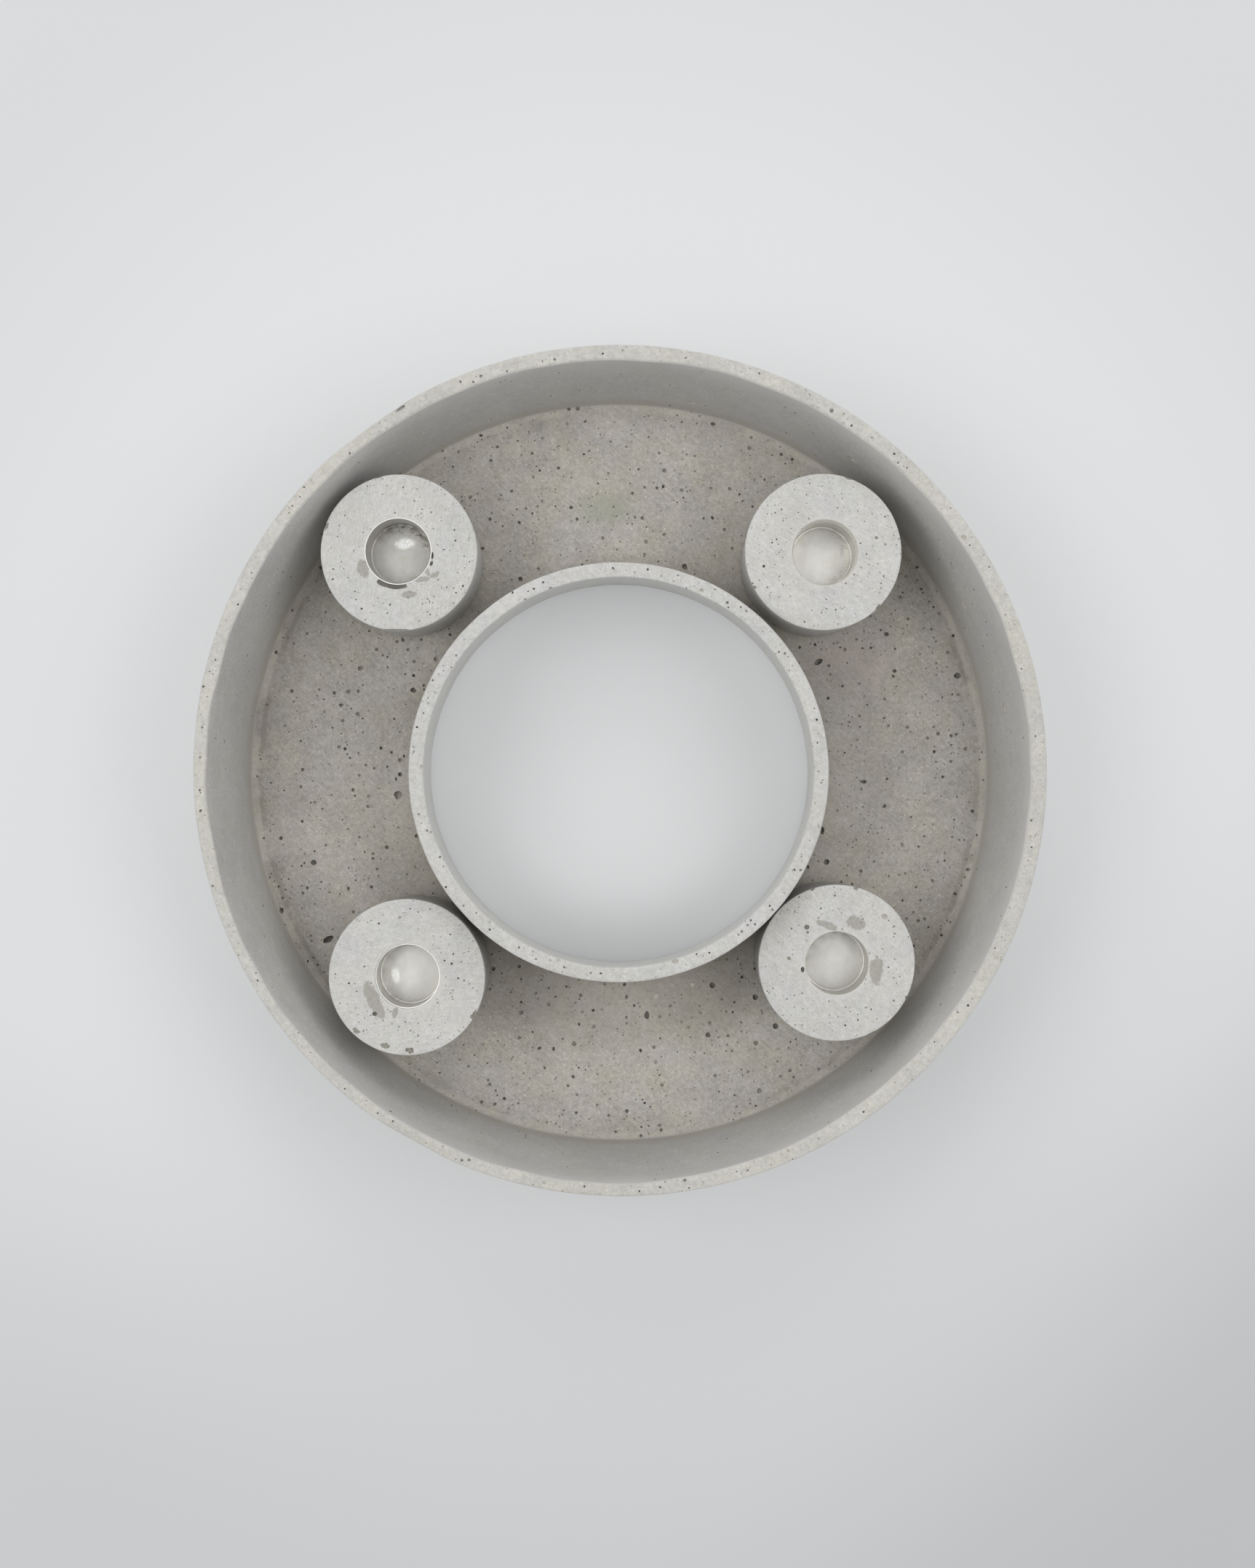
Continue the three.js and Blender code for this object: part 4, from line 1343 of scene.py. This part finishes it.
class HOLDER_OT_candle_cups(bpy.types.Operator):
    """Adds the four pressed metal cups that hold the candles"""

    bl_idname = "holder.candle_cups"
    bl_label = "Candle cups"

    # How bright the painted highlight along each lip is. Those under a narrow throat have none
    rubbed = {"back_left": 0.4, "back_right": 0.0, "front_left": 0.8, "front_right": 0.0}

    # How far each lip turns outwards in millimetres, how bright and how rough its metal is, how much
    # grime it has, and the bearing in degrees where the grime lies
    cups = {
        "back_left": (0.4, 0.53, 0.56, 0.95, 70),
        "back_right": (0.0, 0.70, 0.46, 0.3, 0),
        "front_left": (0.0, 0.62, 0.42, 0.25, 200),
        "front_right": (0.0, 0.62, 0.46, 0.3, 120),
    }

    # Painted highlights and painted shade of each floor, and one dark smudge: right and back of its middle,
    # half length and half width in millimetres, angle in degrees, and how far towards white (above 0) or
    # dark (below 0)
    patches = {
        "back_left": ((1.0, 4.0, 3.3, 1.8, 0, 0.85),),
        "back_right": ((0.7, 7.0, 10.5, 4.0, 0, -0.13), (7.6, 2.2, 0.8, 2.2, 0, -0.2)),
        "front_left": ((-5.6, -1.0, 1.4, 2.9, 8, 0.7),),
        "front_right": ((-5.0, 5.0, 6.0, 3.5, 35, -0.1),),
    }

    def cup_metal(self, place, centre, lip, bright, rough, grime, degrees):
        """Dull pressed metal with grime along the edge of the floor, a painted highlight along the lip, and
        painted highlights and shade on the floor.
        """
        material, tree, shader, vector = new_material("Cup metal " + place)
        local = vector_calc(tree, "SUBTRACT", vector, centre)
        wear = group_node(tree, cup_wear, (("Vector", local), ("Bearing", math.radians(degrees)))).outputs
        look = bpy.context.scene.cup_look
        bare = (bright, bright * 0.98, bright * 0.945, 1)
        dull = (bright * 0.96, bright * 0.96 * 0.98, bright * 0.96 * 0.9, 1)
        paint = mix_colour(tree, "MIX", wear["Dulling"], bare, dull)
        # Painted highlights where light is above 0; painted shade, and at the back right a smudge, where it
        # is below 0
        for right, back, half_length, half_width, turn, light in self.patches[place]:
            spot = beside(centre, right, back)
            mask = stain_mask(tree, vector, spot, half_length * MM, half_width * MM, turn, 1.2, 0.4)
            tone = look.bright_spot if light > 0 else look.dark_spot
            specks = noise_of(tree, vector, 0.5 * MM, 2.0)
            specks = ramp(tree, specks, 0.35, 0.6, abs(light) * 0.5, abs(light))
            paint = laid_over(tree, paint, tone, product(tree, mask, specks))
        height = parts_of(tree, vector)[2]
        # Painted highlight along the top of the lip
        edge = ramp(tree, height, lip - 0.35 * MM, lip - 0.15 * MM, 0.0, self.rubbed[place])
        paint = laid_over(tree, paint, look.rubbed, edge)
        dirt = product(tree, wear["Grime"], grime)
        paint = laid_over(tree, paint, look.grime, dirt)
        tree.links.new(paint, shader.inputs["Base Color"])
        tree.links.new(calc(tree, "MULTIPLY_ADD", dirt, -0.85, 1.0), shader.inputs["Metallic"])
        roughness = calc(tree, "MULTIPLY_ADD", wear["Dulling"], 0.08, rough)
        tree.links.new(calc(tree, "MULTIPLY_ADD", dirt, 0.35, roughness), shader.inputs["Roughness"])
        add_relief(tree, shader, wear["Height"], 0.02 * MM)
        return material

    def outline(self, radius, flare, floor_low, lip):
        """Section of a cup. Its floor has a pressed step just inside the corner."""
        s = bpy.context.scene.cup_sizes
        inside, floor = radius - s.wall, floor_low + s.wall
        step = inside - s.corner - s.step_margin
        turn = [(radius, lip - s.flare_height, 0, 1, 0, 1 * MM)] if flare else []
        turn_back = [(inside, lip - s.flare_height, 0, 1, 0, 1 * MM)] if flare else []
        return rounded_outline(
            [
                (0, floor_low, 0, 1, 0, 2 * MM),
                (radius, floor_low, s.corner + s.wall, 5, 0, 2 * MM),
                *turn,
                (radius + flare, lip, s.lip_rounding, 3, 0, 1 * MM),
                (inside + flare, lip, s.lip_rounding, 3, 0, 1 * MM),
                *turn_back,
                (inside, floor, s.corner, 7, 0, 0.8 * MM),
                (step, floor, 0, 1, 0, 0.5 * MM),
                (step - s.step_width, floor + s.step, 0, 1, 0, 0.8 * MM),
                (0, floor + s.step, 0, 1, 0, 1 * MM),
            ]
        )

    def dish_floor(self, mesh, radius, base, seed):
        """The floor inside the step rises towards its middle, and has a few shallow dents."""
        s = bpy.context.scene.cup_sizes
        places = places_of(mesh)
        away = np.hypot(places[:, 0], places[:, 1])
        edge = radius - s.wall - s.corner - s.step_margin - s.step_width
        on_floor = (places[:, 2] > base + s.wall / 2) & (away < edge)
        dents = noise_at(places, 5 * MM, seed)
        rise = (s.dome + s.dent * 2 * dents) * (1 - (away / edge) ** 2)
        places[:, 2] += np.where(on_floor, rise, 0)
        move_to(mesh, places)

    def execute(self, context):
        s = context.scene.cup_sizes
        for number, place in enumerate(PLACES):
            name = "cup_pressing_" + place
            low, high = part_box("candle_cup_" + place)
            flare, *look = self.cups[place]
            middle, radius = (low + high) / 2, (high.x - low.x) / 2
            lip = high.z + (s.lip_rounding if flare else 0)
            mesh = turned_mesh(name, *self.outline(radius, flare * MM, low.z, lip), 128)
            self.dish_floor(mesh, radius, low.z, number * 9.1)
            move_to(mesh, places_of(mesh) + np.array((middle.x, middle.y, 0)))
            metal = self.cup_metal(place, Vector((middle.x, middle.y, low.z + s.wall)), lip, *look)
            piece = add_piece(name, mesh, (metal,), "holder_" + place, "cup_metal", "candle_cup_" + place)
            finish_shading(piece, 50)
        return {"FINISHED"}


class HOLDER_OT_felts(bpy.types.Operator):
    """Adds the felt discs under the blocks and the tray"""

    bl_idname = "holder.felts"
    bl_label = "Felts"

    # How far a disc's edge is drawn in on average
    fray = 0.1 * MM

    def felt(self):
        """Pressed wool: short fibres in many greys."""
        material, tree, shader, vector = new_material("Wool felt")
        lengthwise = vector_calc(tree, "MULTIPLY", turned(tree, vector, 0.6), (1.0, 4.0, 1.0))
        crosswise = vector_calc(tree, "MULTIPLY", turned(tree, vector, 2.0), (1.0, 5.0, 1.0))
        fibres = noise_of(tree, lengthwise, 0.6 * MM, 4.0, 0.7)
        across = noise_of(tree, crosswise, 0.7 * MM, 4.0, 0.7)
        mixed = product(tree, calc(tree, "ADD", fibres, across), 0.5)
        look = bpy.context.scene.felt_look
        paint = mix_colour(tree, "MIX", ramp(tree, mixed, 0.3, 0.7), (*look.dark, 1), (*look.light, 1))
        tree.links.new(paint, shader.inputs["Base Color"])
        shader.inputs["Roughness"].default_value = 1.0
        shader.inputs["Sheen Weight"].default_value = 0.35
        shader.inputs["Specular IOR Level"].default_value = 0.1
        add_relief(tree, shader, mixed, 0.15 * MM)
        return material

    def add_disc(self, name, node, body, material, seed):
        """One disc in the place of a node, with a rounded and slightly frayed edge."""
        low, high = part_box(node)
        middle, radius = (low + high) / 2, (high.x - low.x) / 2
        arris = (high.z - low.z) * 0.25
        points, finishes = rounded_outline(
            [
                (0, low.z, 0, 1, 0, 2 * MM),
                (radius, low.z, arris, 2, 0, 0.5 * MM),
                (radius, high.z, arris, 2, 0, 2 * MM),
                (0, high.z, 0, 1, 0, 2 * MM),
            ]
        )
        mesh = turned_mesh(name, points, finishes, 96)
        places = places_of(mesh)
        uneven = noise_at(places, 1.3 * MM, seed)
        away = np.hypot(places[:, 0], places[:, 1])
        edge = np.clip(away / radius * 4 - 3, 0, 1)
        places[:, :2] *= (1 - edge * self.fray * (1 + uneven) / radius)[:, None]
        move_to(mesh, places + np.array((middle.x, middle.y, 0)))
        piece = add_piece(name, mesh, (material,), body, "felt", node)
        finish_shading(piece, 60)

    def execute(self, context):
        material = self.felt()
        for number, place in enumerate(PLACES):
            holder = "holder_" + place
            self.add_disc("block_pad_" + place, "block_felt_" + place, holder, material, number)
            self.add_disc("foot_pad_" + place, "tray_foot_" + place, "tray", material, number + 10)
        return {"FINISHED"}


class HOLDER_OT_stage(bpy.types.Operator):
    """Adds the camera, the lamps and the paper that the holder stands on"""

    bl_idname = "holder.stage"
    bl_label = "Stage"

    # Each lamp's bearing and elevation in degrees, and the setting that holds its power
    lamps = {
        "Left lamp": (180, 53, "left_lamp"),
        "Right lamp": (0, 53, "right_lamp"),
        "Back lamp": (90, 36, "back_lamp"),
    }

    def add_camera(self, context):
        """The camera looks straight down, as the photographer's did."""
        look = context.scene.stage_look
        data = bpy.data.cameras.new("Camera")
        data.lens = look.lens
        data.sensor_fit = "AUTO"
        data.sensor_width = SENSOR
        data.clip_start = 0.01
        camera = bpy.data.objects.new("Camera", data)
        camera.location = (look.camera_right, look.camera_back, look.camera_height)
        context.scene.collection.objects.link(camera)
        context.scene.camera = camera

    def add_lamp(self, context, name, bearing, elevation, watts):
        """A round lamp that faces the table's middle, its bearing and elevation in degrees."""
        look = context.scene.stage_look
        data = bpy.data.lights.new(name, "AREA")
        data.shape = "DISK"
        data.size = look.lamp_width
        data.energy = watts
        lamp = bpy.data.objects.new(name, data)
        rise = math.radians(elevation)
        place = on_ring(math.cos(rise), math.radians(bearing), math.sin(rise)) * look.lamp_distance
        lamp.location = place
        lamp.rotation_euler = (-place).to_track_quat("-Z", "Y").to_euler()
        context.scene.collection.objects.link(lamp)

    def backdrop_rays(self, tree):
        """1 for the rays of the camera and of shiny surfaces, and 0 for those that carry light."""
        path = tree.nodes.new("ShaderNodeLightPath").outputs
        mirrored = calc(tree, "MAXIMUM", path["Is Glossy Ray"], path["Is Transmission Ray"])
        return calc(tree, "MAXIMUM", path["Is Camera Ray"], mirrored)

    def hole_shade(self, tree, y, away):
        """The paper is darker along the wall inside the hole, and most at the front and back."""
        at_back = product(tree, y, -0.06)
        upright = calc(tree, "MULTIPLY_ADD", calc(tree, "ABSOLUTE", y), 0.065, at_back)
        dark = calc(tree, "ADD", calc(tree, "DIVIDE", upright, away), 0.045)
        by_wall = ramp(tree, away, 40 * MM, 68 * MM)
        soft = product(tree, by_wall, ramp(tree, away, 80 * MM, 72 * MM))
        return calc(tree, "SUBTRACT", 1.0, product(tree, dark, soft))

    def add_paper(self, context):
        """Paper that is lit by the lamps, and that shows a share of its own colour in any light. Where
        it is far from the lamps it shows only that."""
        material, tree, shader, vector = new_material("Backdrop paper")
        look = context.scene.stage_look
        tooth = noise_of(tree, vector, 1.5 * MM, 3.0)
        shade = calc(tree, "MULTIPLY_ADD", tooth, 0.006, 0.997)
        x, y, _ = parts_of(tree, vector)
        away = vector_calc(tree, "LENGTH", vector)
        # Painted shade: the paper is darker in front, at the front right corner and far out, where less of
        # the lamps' light falls
        in_front = ramp(tree, calc(tree, "MULTIPLY_ADD", x, -0.2, y), -0.24, -0.02, 0.89, 1.0)
        at_corner = ramp(tree, calc(tree, "SUBTRACT", y, x), -0.52, -0.3, 0.88, 1.0)
        far_out = ramp(tree, away, 200 * MM, 350 * MM, 1.0, 0.92)
        for part in (in_front, at_corner, far_out, self.hole_shade(tree, y, away)):
            shade = product(tree, shade, part)
        grey = node_after(tree, "ShaderNodeCombineColor", ((0, shade), (1, shade), (2, shade))).outputs[0]
        paint = mix_colour(tree, "MULTIPLY", 1.0, (*look.paper, 1), grey)
        tree.links.new(paint, shader.inputs["Base Color"])
        shader.inputs["Roughness"].default_value = 0.9
        shader.inputs["Specular IOR Level"].default_value = 0.2
        near_end, far_end = look.far_paper, 2.5 * look.far_paper
        far = ramp(tree, away, near_end, far_end)
        seen = laid_over(tree, paint, look.paper, far)
        glow = node_after(tree, "ShaderNodeEmission", (("Color", seen), ("Strength", 1.0)))
        glowing = ramp(tree, away, near_end, far_end, look.paper_glow, 1.0)
        share = product(tree, self.backdrop_rays(tree), glowing)
        mixed = node_after(
            tree, "ShaderNodeMixShader", ((0, share), (1, shader.outputs[0]), (2, glow.outputs[0]))
        )
        tree.links.new(mixed.outputs[0], tree.nodes["Material Output"].inputs["Surface"])
        half = look.paper_half
        mesh = bpy.data.meshes.new("paper")
        corners = [(-half, -half, 0), (half, -half, 0), (half, half, 0), (-half, half, 0)]
        mesh.from_pydata(corners, [], [(0, 1, 2, 3)])
        mesh.materials.append(material)
        paper = bpy.data.objects.new("paper", mesh)
        context.scene.collection.objects.link(paper)

    def add_sky(self, context):
        """Even white light from all round, which the camera sees as the paper's colour."""
        look = context.scene.stage_look
        world = bpy.data.worlds.new("Studio")
        world.use_nodes = True
        tree = world.node_tree
        light = tree.nodes["Background"]
        light.inputs["Color"].default_value = (1.0, 1.0, 1.0, 1)
        light.inputs["Strength"].default_value = look.sky
        seen = node_after(tree, "ShaderNodeBackground", (("Color", (*look.paper, 1)), ("Strength", 1.0)))
        shaders = ((0, self.backdrop_rays(tree)), (1, light.outputs[0]), (2, seen.outputs[0]))
        mixed = node_after(tree, "ShaderNodeMixShader", shaders)
        tree.links.new(mixed.outputs[0], tree.nodes["World Output"].inputs["Surface"])
        context.scene.world = world

    def execute(self, context):
        look = context.scene.stage_look
        self.add_camera(context)
        self.add_paper(context)
        self.add_sky(context)
        for name, (bearing, elevation, setting) in self.lamps.items():
            self.add_lamp(context, name, bearing, elevation, getattr(look, setting))
        context.scene.view_settings.view_transform = "Standard"
        return {"FINISHED"}


class HOLDER_PT_panel(bpy.types.Panel):
    """Panel that lists the pieces and their settings."""

    bl_label = "Candle holder"
    bl_idname = "HOLDER_PT_panel"
    bl_space_type = "VIEW_3D"
    bl_region_type = "UI"
    bl_category = "Candle holder"

    def draw(self, context):
        for operator in OPERATORS:
            self.layout.operator(operator.bl_idname, text=operator.bl_label)
        for name in SETTINGS:
            group = getattr(context.scene, name)
            column = self.layout.column(align=True)
            for key in group.__annotations__:
                column.prop(group, key)


SETTINGS = {
    "tray_sizes": TraySizes,
    "block_sizes": BlockSizes,
    "cup_sizes": CupSizes,
    "concrete_look": ConcreteLook,
    "cup_look": CupLook,
    "felt_look": FeltLook,
    "stage_look": StageLook,
}
OPERATORS = (
    HOLDER_OT_stage,
    HOLDER_OT_ring_tray,
    HOLDER_OT_candle_blocks,
    HOLDER_OT_candle_cups,
    HOLDER_OT_felts,
)


def register():
    for settings in SETTINGS.values():
        bpy.utils.register_class(settings)
    for name, settings in SETTINGS.items():
        setattr(bpy.types.Scene, name, PointerProperty(type=settings))
    for made in (*OPERATORS, HOLDER_PT_panel):
        bpy.utils.register_class(made)


def unregister():
    for made in (HOLDER_PT_panel, *reversed(OPERATORS)):
        bpy.utils.unregister_class(made)
    for name, settings in SETTINGS.items():
        delattr(bpy.types.Scene, name)
        bpy.utils.unregister_class(settings)


def main():
    """Builds everything."""
    register()
    bpy.ops.holder.stage()
    bpy.ops.holder.ring_tray()
    bpy.ops.holder.candle_blocks()
    bpy.ops.holder.candle_cups()
    bpy.ops.holder.felts()


if __name__ == "__main__":
    main()
